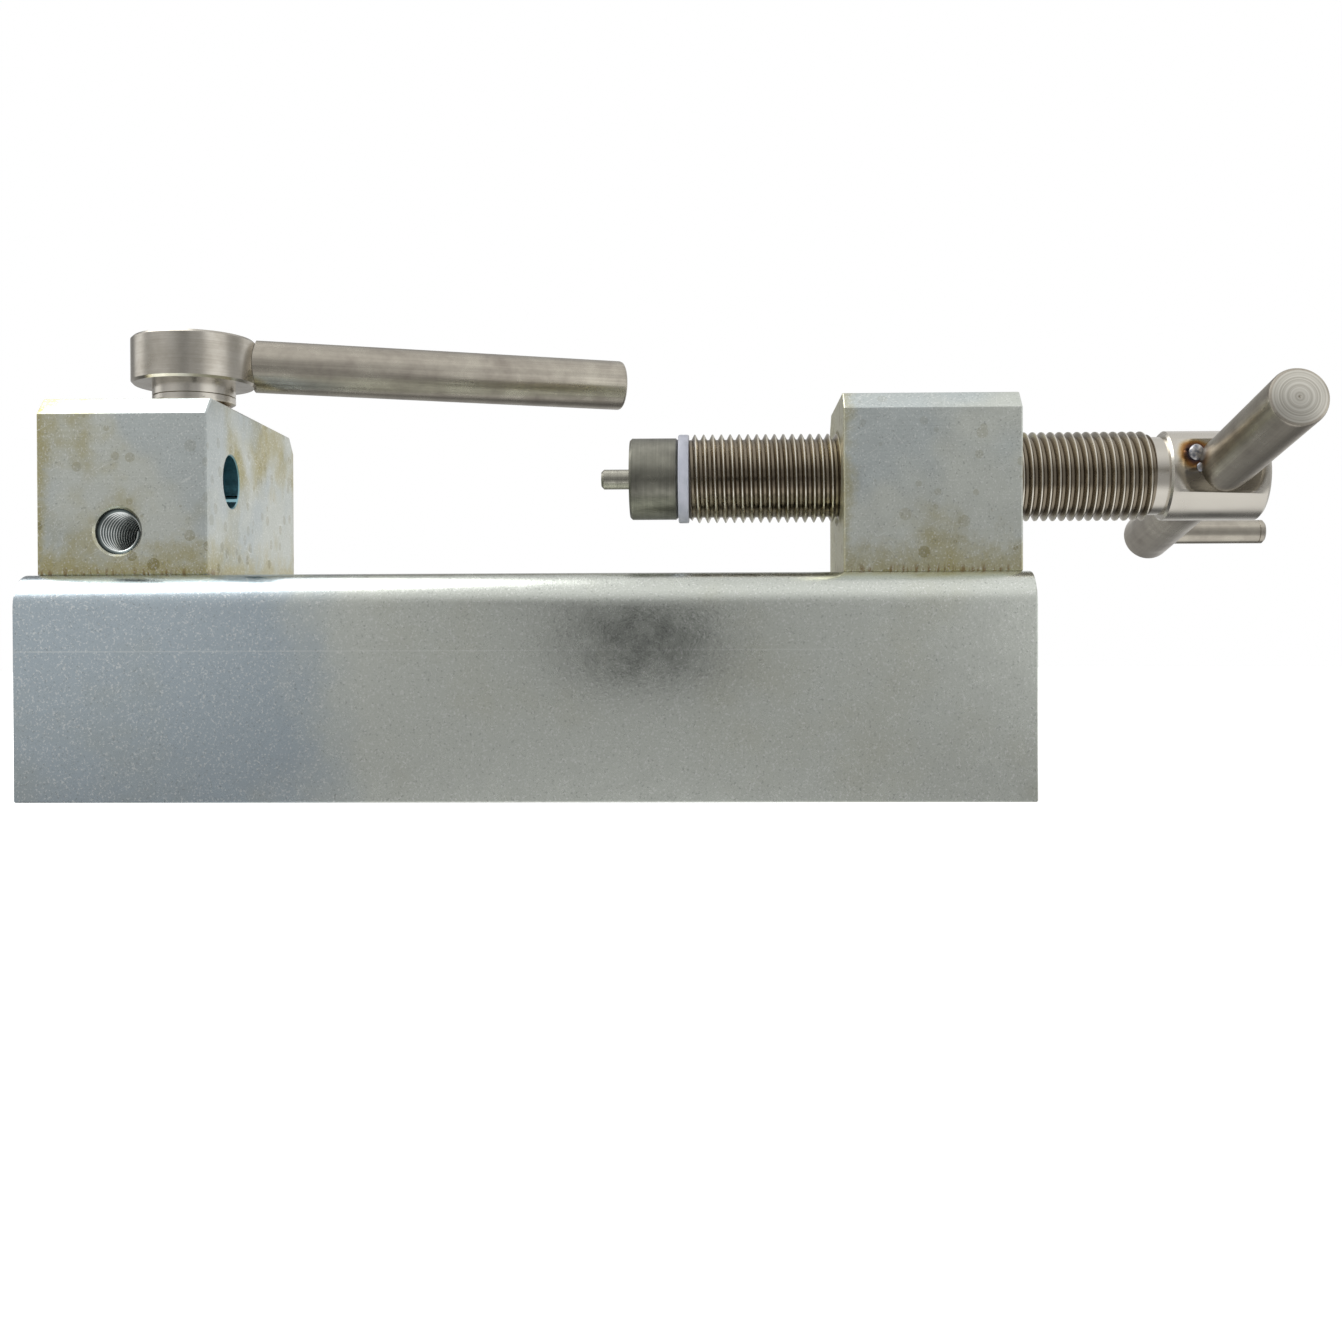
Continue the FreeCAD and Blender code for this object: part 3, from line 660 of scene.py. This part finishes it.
class VISE_OT_base_channel(bpy.types.Operator):
    """Plate folded into a channel, open side down"""

    bl_idname = "vise.base_channel"
    bl_label = "Base channel"

    def execute(self, context):
        size = sizes()
        piece = box_piece("folded_channel", base_low, base_high)
        top = base_high.z
        select_edges(piece, lambda a, b: min(a.z, b.z) > top - 1e-6 and abs(a.x - b.x) > 0.1)
        bpy.ops.mesh.bevel(offset=size.bend, segments=14, profile=0.5, affect="EDGES")
        bpy.ops.object.mode_set(mode="OBJECT")
        select_faces(piece, lambda centre, normal: abs(normal.x) > 0.9 or normal.z < -0.9)
        bpy.ops.mesh.delete(type="FACE")
        bpy.ops.object.mode_set(mode="OBJECT")
        apply_modifier(piece, "SOLIDIFY", thickness=size.wall, offset=-1, use_even_offset=True)
        apply_modifier(piece, "BEVEL", width=size.edge_break, segments=2, limit_method="ANGLE",
                       angle_limit=math.radians(50))
        for node in ("clamp_block_bolts", "spindle_block_bolts", "clamp_block_dowels",
                     "spindle_block_dowels"):
            radius = 4.5 * MM if "bolts" in node else 2.51 * MM
            for x, y in pair_places(node):
                start = Vector((x, y, top - 2 * size.wall))
                tool = turned("drill", [(radius, 0), (radius, 3 * size.wall)], start, Z_AXIS, facets=48)
                cut(piece, tool)
        smooth(piece)
        seam = base_low + Vector((175, 0, 32.3)) * MM
        finish = zinc_plated("zinc_plated_sheet_steel", -0.058, 0.12, 0, low=0.2, high=0.3, seam=seam)
        hand_over(piece, "frame", "zinc_plated_steel", finish, "base_channel")
        return {"FINISHED"}


def pair_places(node):
    """Centres of the two bolts, washers or dowels of a node, from its box and its diagonal."""
    low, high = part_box(node)
    points = [vertex.co for vertex in frame["nodes"][node].data.vertices]
    middle = (low + high) / 2
    halves = [[p for p in points if p.x < middle.x], [p for p in points if p.x >= middle.x]]
    places = []
    for half in halves:
        places.append(((min(p.x for p in half) + max(p.x for p in half)) / 2,
                       (min(p.y for p in half) + max(p.y for p in half)) / 2))
    return places


def block_piece(name, low, high):
    """A block of bright bar: chamfered long top edges, all other edges broken."""
    size = sizes()
    piece = box_piece(name, low, high)
    select_edges(piece, lambda a, b: min(a.z, b.z) > high.z - 1e-6 and abs(a.x - b.x) > 0.01)
    bpy.ops.mesh.bevel(offset=size.block_chamfer, segments=1, affect="EDGES")
    bpy.ops.object.mode_set(mode="OBJECT")
    apply_modifier(piece, "BEVEL", width=size.edge_break, segments=2, limit_method="ANGLE",
                   angle_limit=math.radians(30))
    return piece


def drill(piece, start, axis, depth, radius, mouth):
    """Drill a hole with a chamfered mouth. The start lies on the face, the axis goes in."""
    outline = [(radius + 2 * mouth, -mouth), (radius, mouth), (radius, depth)]
    cut(piece, turned("drill", outline, start, axis))


class VISE_OT_clamp_block(bpy.types.Operator):
    """Left block with the tube bore, the threaded port and the clamp screw's hole"""

    bl_idname = "vise.clamp_block"
    bl_label = "Clamp block"

    def execute(self, context):
        size = sizes()
        piece = block_piece("clamp_block_milled", clamp_low, clamp_high)
        bore = mounts["tube_bore"]
        radius = bore["dims"]["r_mm"] * MM
        centre = Vector(bore["pos_m"])
        width = clamp_high.x - clamp_low.x
        left = Vector((clamp_low.x, centre.y, centre.z))
        drill(piece, left, X_AXIS, width + MM, radius, 0.3 * MM)
        mouth = [(radius + 0.6 * MM, -0.3 * MM), (radius - 0.1 * MM, 0.4 * MM)]
        cut(piece, turned("drill", mouth, left + X_AXIS * width, -X_AXIS))
        port = mounts["front_thread"]
        port_radius = port["dims"]["r_mm"] * MM
        port_mouth = Vector((port["pos_m"][0], clamp_low.y, port["pos_m"][2]))
        drill(piece, port_mouth, Y_AXIS, 60 * MM, port_radius, 0.5 * MM)
        top = Vector((clamp_axis.x, clamp_axis.y, clamp_high.z))
        drill(piece, top, -Z_AXIS, clamp_high.z - 60.5 * MM, size.thread_radius + 0.05 * MM, 0.8 * MM)
        for node in ("clamp_block_bolts", "clamp_block_dowels"):
            seat_holes(piece, node, clamp_low.z)
        smooth(piece, 15)
        finish = zinc_plated("zinc_plated_bright_bar", -0.30, 1.0, 1.6, clamp_low, centre, 0.3, 0.42)
        hand_over(piece, "frame", "zinc_plated_steel", finish, "clamp_block")

        wall, crest = port_radius + 0.04 * MM, 4.2 * MM
        ridge = [(wall, -0.62 * MM), (crest, -0.14 * MM), (crest, 0.14 * MM), (wall, 0.62 * MM)]
        turns = 17
        thread = helix("port_thread_ridges", ridge, size.port_pitch, turns, 48, closed=True)
        take(thread)
        bpy.ops.object.mode_set(mode="EDIT")
        bpy.ops.mesh.select_mode(type="EDGE")
        bpy.ops.mesh.select_all(action="DESELECT")
        bpy.ops.mesh.select_non_manifold()
        bpy.ops.mesh.edge_face_add()
        bpy.ops.object.mode_set(mode="OBJECT")
        recalculate(thread)
        turn = Z_AXIS.rotation_difference(Y_AXIS).to_matrix().to_4x4()
        thread.matrix_world = Matrix.Translation(port_mouth + Y_AXIS * 1.1 * MM) @ turn
        apply_place(thread)
        smooth(thread, 25)
        # Crest, flank and root colours of the tapped thread: a near-white painted highlight on the crests and
        # near-black painted shade in the roots
        tints = (tone("#F0F4F2"), tone("#7C8684"), tone("#2A3030"))
        finish = cut_thread("zinc_plated_tapped_thread", "Y", port_mouth, 4.3 * MM, 4.9 * MM, tints=tints)
        hand_over(thread, "frame", "zinc_plated_steel", finish)
        return {"FINISHED"}


def seat_holes(piece, node, underside):
    """Holes in a block's underside for the screws or dowels of a node."""
    radius, depth = (4.05 * MM, 13 * MM) if "bolts" in node else (2.51 * MM, 9 * MM)
    for x, y in pair_places(node):
        start = Vector((x, y, underside - MM))
        cut(piece, turned("drill", [(radius, 0), (radius, depth)], start, Z_AXIS, facets=48))


class VISE_OT_spindle_block(bpy.types.Operator):
    """Right block with the spindle's threaded hole"""

    bl_idname = "vise.spindle_block"
    bl_label = "Spindle block"

    def execute(self, context):
        piece = block_piece("spindle_block_milled", guide_low, guide_high)
        radius = sizes().thread_radius + 0.05 * MM
        left = Vector((guide_low.x, spindle_axis.y, spindle_axis.z))
        width = guide_high.x - guide_low.x
        drill(piece, left, X_AXIS, width + MM, radius, 0.8 * MM)
        mouth = [(radius + 1.6 * MM, -0.8 * MM), (radius - 0.1 * MM, 0.9 * MM)]
        cut(piece, turned("drill", mouth, left + X_AXIS * width, -X_AXIS))
        for node in ("spindle_block_bolts", "spindle_block_dowels"):
            seat_holes(piece, node, guide_low.z)
        smooth(piece, 15)
        finish = zinc_plated("zinc_plated_bright_bar_spotted", -0.30, 0.8, 1.0, guide_low,
                             low=0.32, high=0.44)
        hand_over(piece, "frame", "zinc_plated_steel", finish, "spindle_block")
        return {"FINISHED"}


class VISE_OT_fasteners(bpy.types.Operator):
    """Socket head screws, spring washers and dowels under the blocks"""

    bl_idname = "vise.fasteners"
    bl_label = "Fasteners"

    def execute(self, context):
        oxide = speckled("black_oxide_screw_steel", tone("#35353A"), tone("#1F1F22"), 0.8, 1.0,
                         0.35, 0.5, 0.01)
        spring = speckled("tempered_spring_steel", tone("#8B8C90"), tone("#606168"), 1.5, 1.0,
                          0.3, 0.45, 0.01)
        ground = lathe_turned("ground_dowel_steel", tone("#D5D6D6"), tone("#A9ABAD"), "Z", 0.4,
                              0.18, 0.28)
        for block in ("clamp_block", "spindle_block"):
            bolts = block + "_bolts"
            low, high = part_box(bolts)
            parts = []
            for x, y in pair_places(bolts):
                parts.append(cap_screw(Vector((x, y, low.z)), high.z - low.z))
            piece = joined(parts, block + "_cap_screws")
            smooth(piece)
            hand_over(piece, "frame", "black_oxide_steel", oxide, bolts)

            washers = block + "_lock_washers"
            low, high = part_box(washers)
            parts = []
            for x, y in pair_places(washers):
                parts.append(spring_washer(Vector((x, y, low.z)), high.z - low.z))
            piece = joined(parts, block + "_spring_washers")
            smooth(piece)
            hand_over(piece, "frame", "spring_steel", spring, washers)
            dress(block + "_dowels", ground)
        for node in ("pad_retaining_ring", "head_retaining_ring"):
            dress(node, spring)
        return {"FINISHED"}


def joined(parts, name):
    """Join parts into one piece."""
    bpy.ops.object.select_all(action="DESELECT")
    for part in parts:
        part.select_set(True)
    bpy.context.view_layer.objects.active = parts[0]
    if len(parts) > 1:
        bpy.ops.object.join()
    parts[0].name = parts[0].data.name = name
    return parts[0]


def cap_screw(start, reach):
    """Socket head cap screw with a knurled head, head down."""
    head, shank, tall = 6.5 * MM, 4.0 * MM, 8.0 * MM
    outline = [(head - 0.6 * MM, 0), (head, 0.6 * MM), (head, tall), (shank, tall),
               (shank, reach - 0.6 * MM), (shank - 0.6 * MM, reach)]
    piece = turned("cap_screw", outline, Vector(), Z_AXIS)
    facets = sizes().facets
    take(piece)
    bpy.ops.object.mode_set(mode="EDIT")
    bpy.ops.mesh.select_mode(type="VERT")
    bpy.ops.mesh.select_all(action="DESELECT")
    bpy.ops.object.mode_set(mode="OBJECT")
    for vertex in piece.data.vertices:
        flat = Vector((vertex.co.x, vertex.co.y))
        step = round(math.atan2(flat.y, flat.x) / (2 * math.pi) * facets)
        vertex.select = step % 2 == 0 and flat.length > head - 0.01 * MM
    bpy.ops.object.mode_set(mode="EDIT")
    bpy.ops.transform.resize(value=(0.972, 0.972, 1), center_override=(0, 0, 0))
    bpy.ops.object.mode_set(mode="OBJECT")
    key = turned("key", [(3.464 * MM, -MM), (3.464 * MM, 4 * MM), (0.6 * MM, 5.2 * MM)],
                 Vector(), Z_AXIS, facets=6)
    cut(piece, key)
    piece.matrix_world = Matrix.Translation(start)
    apply_place(piece)
    return piece


def spring_washer(start, thickness):
    """Split spring washer, spun from its section so that its ends stand apart."""
    inner, outer = 4.2 * MM, 7.0 * MM
    bpy.ops.object.select_all(action="DESELECT")
    bpy.ops.mesh.primitive_plane_add(size=1, rotation=(math.pi / 2, 0, 0))
    piece = bpy.context.object
    piece.scale = (outer - inner, thickness * 0.86, 1)
    apply_place(piece)
    piece.data.transform(Matrix.Translation(((inner + outer) / 2, 0, thickness * 0.43)))
    take(piece)
    bpy.ops.object.mode_set(mode="EDIT")
    bpy.ops.mesh.select_all(action="SELECT")
    bpy.ops.mesh.spin(steps=60, angle=math.radians(352), center=(0, 0, 0), axis=(0, 0, 1))
    bpy.ops.object.mode_set(mode="OBJECT")
    recalculate(piece)
    apply_modifier(piece, "BEVEL", width=0.2 * MM, segments=2, limit_method="ANGLE",
                   angle_limit=math.radians(50))
    piece.matrix_world = Matrix.Translation(start)
    apply_place(piece)
    return piece


def thread_profile(radius, pitch, start):
    """One pitch of a metric thread's flank line, from root to root, as (radius, distance)."""
    root = radius - 0.6134 * pitch
    crest_flat, root_flat = pitch / 8, pitch / 4
    flank = (pitch - crest_flat - root_flat) / 2
    line = [(root, 0), (root, root_flat), (radius, root_flat + flank),
            (radius, root_flat + flank + crest_flat), (root, pitch)]
    return [(r, start + distance) for r, distance in line]


def threaded_rod(name, radius, pitch, low, high, shift=0):
    """Helical thread along Z, cut square and capped at its two ends."""
    turns = math.ceil((high - low) / pitch) + 2
    piece = helix(name, thread_profile(radius, pitch, low - 1.5 * pitch + shift), pitch, turns, 72)
    recalculate(piece)
    take(piece)
    for height, above in ((low, False), (high, True)):
        bpy.ops.object.mode_set(mode="EDIT")
        bpy.ops.mesh.select_all(action="SELECT")
        bpy.ops.mesh.bisect(plane_co=(0, 0, height), plane_no=(0, 0, 1), use_fill=True,
                            clear_outer=above, clear_inner=not above)
        bpy.ops.object.mode_set(mode="OBJECT")
    recalculate(piece)
    return piece


def stood(piece, start, axis):
    """Move a piece made along Z to its place along an axis."""
    turn = Z_AXIS.rotation_difference(axis).to_matrix().to_4x4()
    piece.matrix_world = Matrix.Translation(start) @ turn
    apply_place(piece)
    return piece


class VISE_OT_clamp_screw(bpy.types.Operator):
    """Upright clamp screw and its pad"""

    bl_idname = "vise.clamp_screw"
    bl_label = "Clamp screw"

    def execute(self, context):
        size = sizes()
        radius, pitch = size.thread_radius, size.pitch
        low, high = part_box("clamp_screw")
        hub_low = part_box("lever_hub")[0].z
        bottom = low.z + 3.4 * MM
        collar = hub_low - 4.1 * MM
        piece = threaded_rod("clamp_screw_threaded", radius, pitch, 0, collar - bottom + pitch / 2, -0.65 * MM)
        ease_groove(piece, radius, pitch, collar - bottom)
        chamfer = 1.2 * MM
        envelope = [(radius - chamfer, -MM / 4), (radius - chamfer, 0), (radius + 0.02 * MM, chamfer),
                    (radius + 0.02 * MM, collar - bottom + pitch)]
        cut(piece, turned("envelope", envelope, Vector(), Z_AXIS), "INTERSECT")
        stem = [(3.7 * MM, low.z - bottom), (4 * MM, low.z - bottom + 0.3 * MM), (4 * MM, 1.5 * MM),
                (6 * MM, collar - bottom - MM), (radius, collar - bottom),
                (radius, collar - bottom + 0.6 * MM), (radius - 0.35 * MM, collar - bottom + 0.75 * MM),
                (radius - 0.35 * MM, collar - bottom + 1.2 * MM), (radius, collar - bottom + 1.35 * MM),
                (radius, hub_low - bottom), (6 * MM, hub_low - bottom), (6 * MM, high.z - bottom)]
        cut(piece, turned("stem", stem, Vector(), Z_AXIS), "UNION")
        stood(piece, Vector((clamp_axis.x, clamp_axis.y, bottom)), Z_AXIS)
        smooth(piece, 30)
        finish = cut_thread("cut_stainless_thread_clamp", "Z", clamp_axis, head_from=collar)
        hand_over(piece, "clamp_screw", "stainless_thread", finish, "clamp_screw")
        brass = lathe_turned("turned_brass", tone("#D9B56A"), tone("#A98545"), "Z", 0.5, 0.22, 0.35)
        dress("clamp_pad", brass)
        return {"FINISHED"}


def ease_groove(piece, radius, pitch, end):
    """Let the thread's groove run out to nothing just below the collar."""
    for vertex in piece.data.vertices:
        share = (vertex.co.z - (end - 0.45 * pitch)) / (0.45 * pitch)
        flat = Vector((vertex.co.x, vertex.co.y))
        if share > 0 and 0 < flat.length < radius:
            wanted = flat.length + (radius - flat.length) * min(share, 1)
            vertex.co.x *= wanted / flat.length
            vertex.co.y *= wanted / flat.length


class VISE_OT_lever(bpy.types.Operator):
    """Round hub and lever rod of the clamp screw"""

    bl_idname = "vise.lever"
    bl_label = "Hub and lever"

    def execute(self, context):
        size = sizes()
        low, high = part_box("lever_hub")
        tall = high.z - low.z
        radius = 15 * MM
        chamfer = 0.6 * MM
        bore = 6.02 * MM
        bar, tenon = 6.5 * MM, 4.0 * MM
        outline = [(bore, 0), (radius - chamfer, 0), (radius, chamfer), (radius, tall - chamfer),
                   (radius - chamfer, tall), (bore + 0.3 * MM, tall), (bore, tall - 0.3 * MM)]
        hub = turned("turned_hub", outline, Vector((clamp_axis.x, clamp_axis.y, low.z)), Z_AXIS,
                     hollow=True, facets=128)
        rod_low, rod_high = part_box("lever_rod")
        middle = Vector((clamp_axis.x, clamp_axis.y, (rod_low.z + rod_high.z) / 2))
        along = Vector((math.cos(size.lever_angle), math.sin(size.lever_angle), 0))
        cut(hub, turned("drill", [(4.02 * MM, 5 * MM), (4.02 * MM, radius + MM)], middle, along, facets=48))
        smooth(hub)
        finish = lathe_turned("turned_stainless_hub", colours().turned, tone("#B5AFA3"), "Z", 0.35,
                              0.2, 0.28, 0.003)
        hand_over(hub, "clamp_screw", "turned_stainless", finish, "lever_hub")

        reach = size.lever_reach
        inside = radius - bar / 2
        outline = [(bar, inside), (bar, reach - 0.9 * MM), (bar - 0.25 * MM, reach - 0.3 * MM),
                   (bar - 0.7 * MM, reach)]
        rod = turned("drawn_lever_rod", outline, middle, along)
        saddle = [(radius + 0.05 * MM, -2 * bar), (radius + 0.05 * MM, 2 * bar)]
        cut(rod, turned("drill", saddle, middle, Z_AXIS, facets=128))
        plug = [(tenon, 6.9 * MM), (tenon, radius + 0.9 * MM)]
        cut(rod, turned("tenon", plug, middle, along, facets=48), "UNION")
        smooth(rod)
        finish = drawn_bar("drawn_stainless_lever", along, 0.24, 0.36)
        hand_over(rod, "clamp_screw", "drawn_stainless", finish, "lever_rod")
        return {"FINISHED"}


def weld_point(side, above):
    """A point on the front of the spindle's head, from the bar's axis."""
    bar_low, bar_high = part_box("tommy_bar")
    radius = sizes().thread_radius
    depth = math.sqrt(radius ** 2 - above ** 2)
    return Vector(((bar_low.x + bar_high.x) / 2 + side, spindle_axis.y - depth, spindle_axis.z + above))


class VISE_OT_spindle(bpy.types.Operator):
    """Threaded spindle with its neck and cross-drilled head"""

    bl_idname = "vise.spindle"
    bl_label = "Spindle"

    def execute(self, context):
        size = sizes()
        low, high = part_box("spindle")
        radius, pitch = size.thread_radius, size.pitch
        end = size.thread_length
        total = high.x - low.x
        head = total - size.head_length
        piece = threaded_rod("spindle_threaded", radius, pitch, 0, end + pitch / 2)
        chamfer = 1.2 * MM
        slope = radius - size.neck_radius
        envelope = [(radius - chamfer, -MM / 4), (radius - chamfer, 0), (radius + 0.02 * MM, chamfer),
                    (radius + 0.02 * MM, end), (size.neck_radius, end + slope),
                    (size.neck_radius, end + pitch)]
        cut(piece, turned("envelope", envelope, Vector(), Z_AXIS), "INTERSECT")
        neck = size.neck_radius
        outline = [(6 * MM, end - 4 * MM), (neck - 0.1 * MM, end - 2 * MM), (neck, end + 0.9 * slope),
                   (neck, head), (radius - 0.5 * MM, head), (radius, head + 0.5 * MM),
                   (radius, total - 0.6 * MM), (radius - 0.6 * MM, total)]
        cut(piece, turned("head", outline, Vector(), Z_AXIS), "UNION")
        socket = [(5.05 * MM, -MM), (5.05 * MM, 21.6 * MM)]
        cut(piece, turned("socket", socket, Vector(), Z_AXIS, facets=64))
        stood(piece, Vector((low.x, spindle_axis.y, spindle_axis.z)), X_AXIS)
        bar_low, bar_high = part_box("tommy_bar")
        centre = Vector(((bar_low.x + bar_high.x) / 2, spindle_axis.y, spindle_axis.z))
        along = Vector((0, -math.cos(size.bar_tilt), math.sin(size.bar_tilt)))
        cross = 6.15 * MM
        hole = [(cross, -20 * MM), (cross, 20 * MM)]
        cut(piece, turned("drill", hole, centre, along))
        smooth(piece, 30)
        weld = weld_point(-6.6 * MM, 4.0 * MM)
        finish = cut_thread("cut_stainless_thread_spindle", "X", spindle_axis, weld_place=weld,
                            head_from=low.x + end + slope)
        hand_over(piece, "spindle", "stainless_thread", finish, "spindle")
        return {"FINISHED"}


class VISE_OT_tommy_bar(bpy.types.Operator):
    """Bar through the spindle's head, its crank peg and the weld that holds it"""

    bl_idname = "vise.tommy_bar"
    bl_label = "Tommy bar"

    def execute(self, context):
        size = sizes()
        bar_low, bar_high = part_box("tommy_bar")
        centre = Vector(((bar_low.x + bar_high.x) / 2, spindle_axis.y, spindle_axis.z))
        along = Vector((0, -math.cos(size.bar_tilt), math.sin(size.bar_tilt)))
        radius = 6 * MM
        near, far = size.bar_near, size.bar_far
        lip = 0.8 * MM
        outline = [(0.1 * MM, 0.2 * MM - far), (0.28 * MM, -far), (radius - lip, -far),
                   (radius, lip - far), (radius, near - lip), (radius - 0.2 * MM, near - 0.3 * MM),
                   (radius - lip, near), (0.28 * MM, near), (0.1 * MM, near - 0.2 * MM)]
        bar = turned("drawn_tommy_bar", outline, centre, along)
        peg_centre = centre - along * size.peg_distance
        peg_hole = [(3.02 * MM, 1.05 * MM), (3.02 * MM, 8 * MM)]
        cut(bar, turned("drill", peg_hole, peg_centre, X_AXIS, facets=48))
        smooth(bar)
        finish = drawn_bar("drawn_stainless_bar", along, 0.26, 0.38, centre + along * (near - 0.1 * MM))
        hand_over(bar, "spindle", "drawn_stainless", finish, "tommy_bar")

        peg_low, peg_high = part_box("crank_peg")
        reach = peg_high.x - peg_low.x
        peg = 3 * MM
        outline = [(peg - 0.2 * MM, 0), (peg, 0.2 * MM), (peg, reach - 1.6 * MM),
                   (peg - 0.15 * MM, reach - 1.5 * MM), (peg, reach - 1.4 * MM),
                   (peg, reach - 0.5 * MM), (peg - 0.5 * MM, reach)]
        start = Vector((peg_low.x, peg_centre.y, peg_centre.z))
        piece = turned("drawn_crank_peg", outline, start, X_AXIS, facets=64)
        smooth(piece)
        finish = drawn_bar("drawn_stainless_peg", X_AXIS, 0.26, 0.38)
        hand_over(piece, "spindle", "drawn_stainless", finish, "crank_peg")

        beads = []
        for side, above, width in ((-6.6, 4.0, 1.7), (-5.9, 0.8, 0.9)):
            place = weld_point(side * MM, above * MM)
            bpy.ops.object.select_all(action="DESELECT")
            bpy.ops.mesh.primitive_ico_sphere_add(subdivisions=4, radius=width * MM, location=place,
                                                  scale=(1.0, 0.55, 1.15))
            bead = bpy.context.object
            apply_place(bead)
            beads.append(bead)
        weld = joined(beads, "weld_beads")
        smooth(weld, 60)
        hand_over(weld, "spindle", "weld_metal", weld_metal("scaly_weld_metal", weld_point(-6.6 * MM, 4 * MM)),
                  "tack_weld")
        return {"FINISHED"}


class VISE_OT_press_head(bpy.types.Operator):
    """Press head, pilot pin, thrust washer and ball"""

    bl_idname = "vise.press_head"
    bl_label = "Press head"

    def execute(self, context):
        low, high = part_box("press_head")
        washer_low, washer_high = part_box("thrust_washer")
        radius, shank = 9.2 * MM, 5 * MM
        face = 10.9 * MM
        reach = high.x - low.x
        outline = [(1.8 * MM, 6 * MM), (1.8 * MM, 0), (radius - 0.5 * MM, 0), (radius, 0.5 * MM),
                   (radius, face - 0.5 * MM), (radius - 0.5 * MM, face), (shank, face),
                   (shank, reach - 0.5 * MM), (shank - 0.5 * MM, reach)]
        start = Vector((low.x, spindle_axis.y, spindle_axis.z))
        head = turned("turned_press_head", outline, start, X_AXIS)
        smooth(head)
        finish = lathe_turned("turned_tool_steel", colours().tool_steel, tone("#6F6E66"), "X", 0.4,
                              0.26, 0.4)
        hand_over(head, "press_head", "tool_steel", finish, "press_head")

        pin_low, pin_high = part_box("pilot_pin")
        pin, tenon = 2.25 * MM, 1.8 * MM
        shoulder = low.x - pin_low.x
        outline = [(pin - 0.6 * MM, 0), (pin, 0.6 * MM), (pin, shoulder), (tenon, shoulder),
                   (tenon, pin_high.x - pin_low.x)]
        piece = turned("turned_pilot_pin", outline, Vector((pin_low.x, start.y, start.z)), X_AXIS, facets=64)
        smooth(piece)
        finish = lathe_turned("turned_pin_steel", tone("#BDBBAE"), tone("#8E8C82"), "X", 0.4, 0.22, 0.34)
        hand_over(piece, "press_head", "drawn_stainless", finish, "pilot_pin")

        thick = washer_high.x - washer_low.x
        outer, inner, edge = 10 * MM, 5.2 * MM, 0.3 * MM
        outline = [(inner, 0), (outer - edge, 0), (outer - 0.09 * MM, 0.09 * MM), (outer, edge),
                   (outer, thick - edge), (outer - 0.09 * MM, thick - 0.09 * MM), (outer - edge, thick),
                   (inner, thick)]
        start = Vector((washer_low.x, spindle_axis.y, spindle_axis.z))
        washer = turned("moulded_thrust_washer", outline, start, X_AXIS, hollow=True)
        smooth(washer)
        finish = speckled("moulded_washer_plastic", colours().washer, tone("#9FA2AC"), 3, 0.0, 0.35, 0.5,
                          0.01)
        shader = finish.node_tree.nodes["Principled BSDF"]
        shader.inputs["Subsurface Weight"].default_value = 0.2
        shader.inputs["Subsurface Radius"].default_value = (0.001, 0.001, 0.0012)
        hand_over(washer, "press_head", "white_plastic", finish, "thrust_washer")
        dress("thrust_ball", speckled("ground_ball_steel", tone("#DADCDD"), tone("#B4B7BA"), 2, 1.0,
                                      0.1, 0.18, 0.002))
        return {"FINISHED"}


class VISE_PT_panel(bpy.types.Panel):
    """Builds the bench vise piece by piece"""

    bl_label = "Bench Vise"
    bl_idname = "VISE_PT_panel"
    bl_space_type = "VIEW_3D"
    bl_region_type = "UI"
    bl_category = "Bench Vise"

    def draw(self, context):
        for operator in OPERATORS:
            self.layout.operator(operator.bl_idname)
        for group in (context.scene.vise_sizes, context.scene.vise_colours):
            box = self.layout.box()
            for name in group.bl_rna.properties.keys():
                if name not in {"rna_type", "name"}:
                    box.prop(group, name)


OPERATORS = (VISE_OT_stage, VISE_OT_base_channel, VISE_OT_clamp_block, VISE_OT_spindle_block,
             VISE_OT_fasteners, VISE_OT_clamp_screw, VISE_OT_lever, VISE_OT_spindle,
             VISE_OT_tommy_bar, VISE_OT_press_head)
CLASSES = (VISE_PG_sizes, VISE_PG_colours, *OPERATORS, VISE_PT_panel)


def register():
    for item in CLASSES:
        bpy.utils.register_class(item)
    bpy.types.Scene.vise_sizes = PointerProperty(type=VISE_PG_sizes)
    bpy.types.Scene.vise_colours = PointerProperty(type=VISE_PG_colours)


def unregister():
    del bpy.types.Scene.vise_colours
    del bpy.types.Scene.vise_sizes
    for item in reversed(CLASSES):
        bpy.utils.unregister_class(item)


def main():
    register()
    bpy.ops.vise.stage()
    bpy.ops.vise.base_channel()
    bpy.ops.vise.clamp_block()
    bpy.ops.vise.spindle_block()
    bpy.ops.vise.fasteners()
    bpy.ops.vise.clamp_screw()
    bpy.ops.vise.lever()
    bpy.ops.vise.spindle()
    bpy.ops.vise.tommy_bar()
    bpy.ops.vise.press_head()


if __name__ == "__main__":
    main()
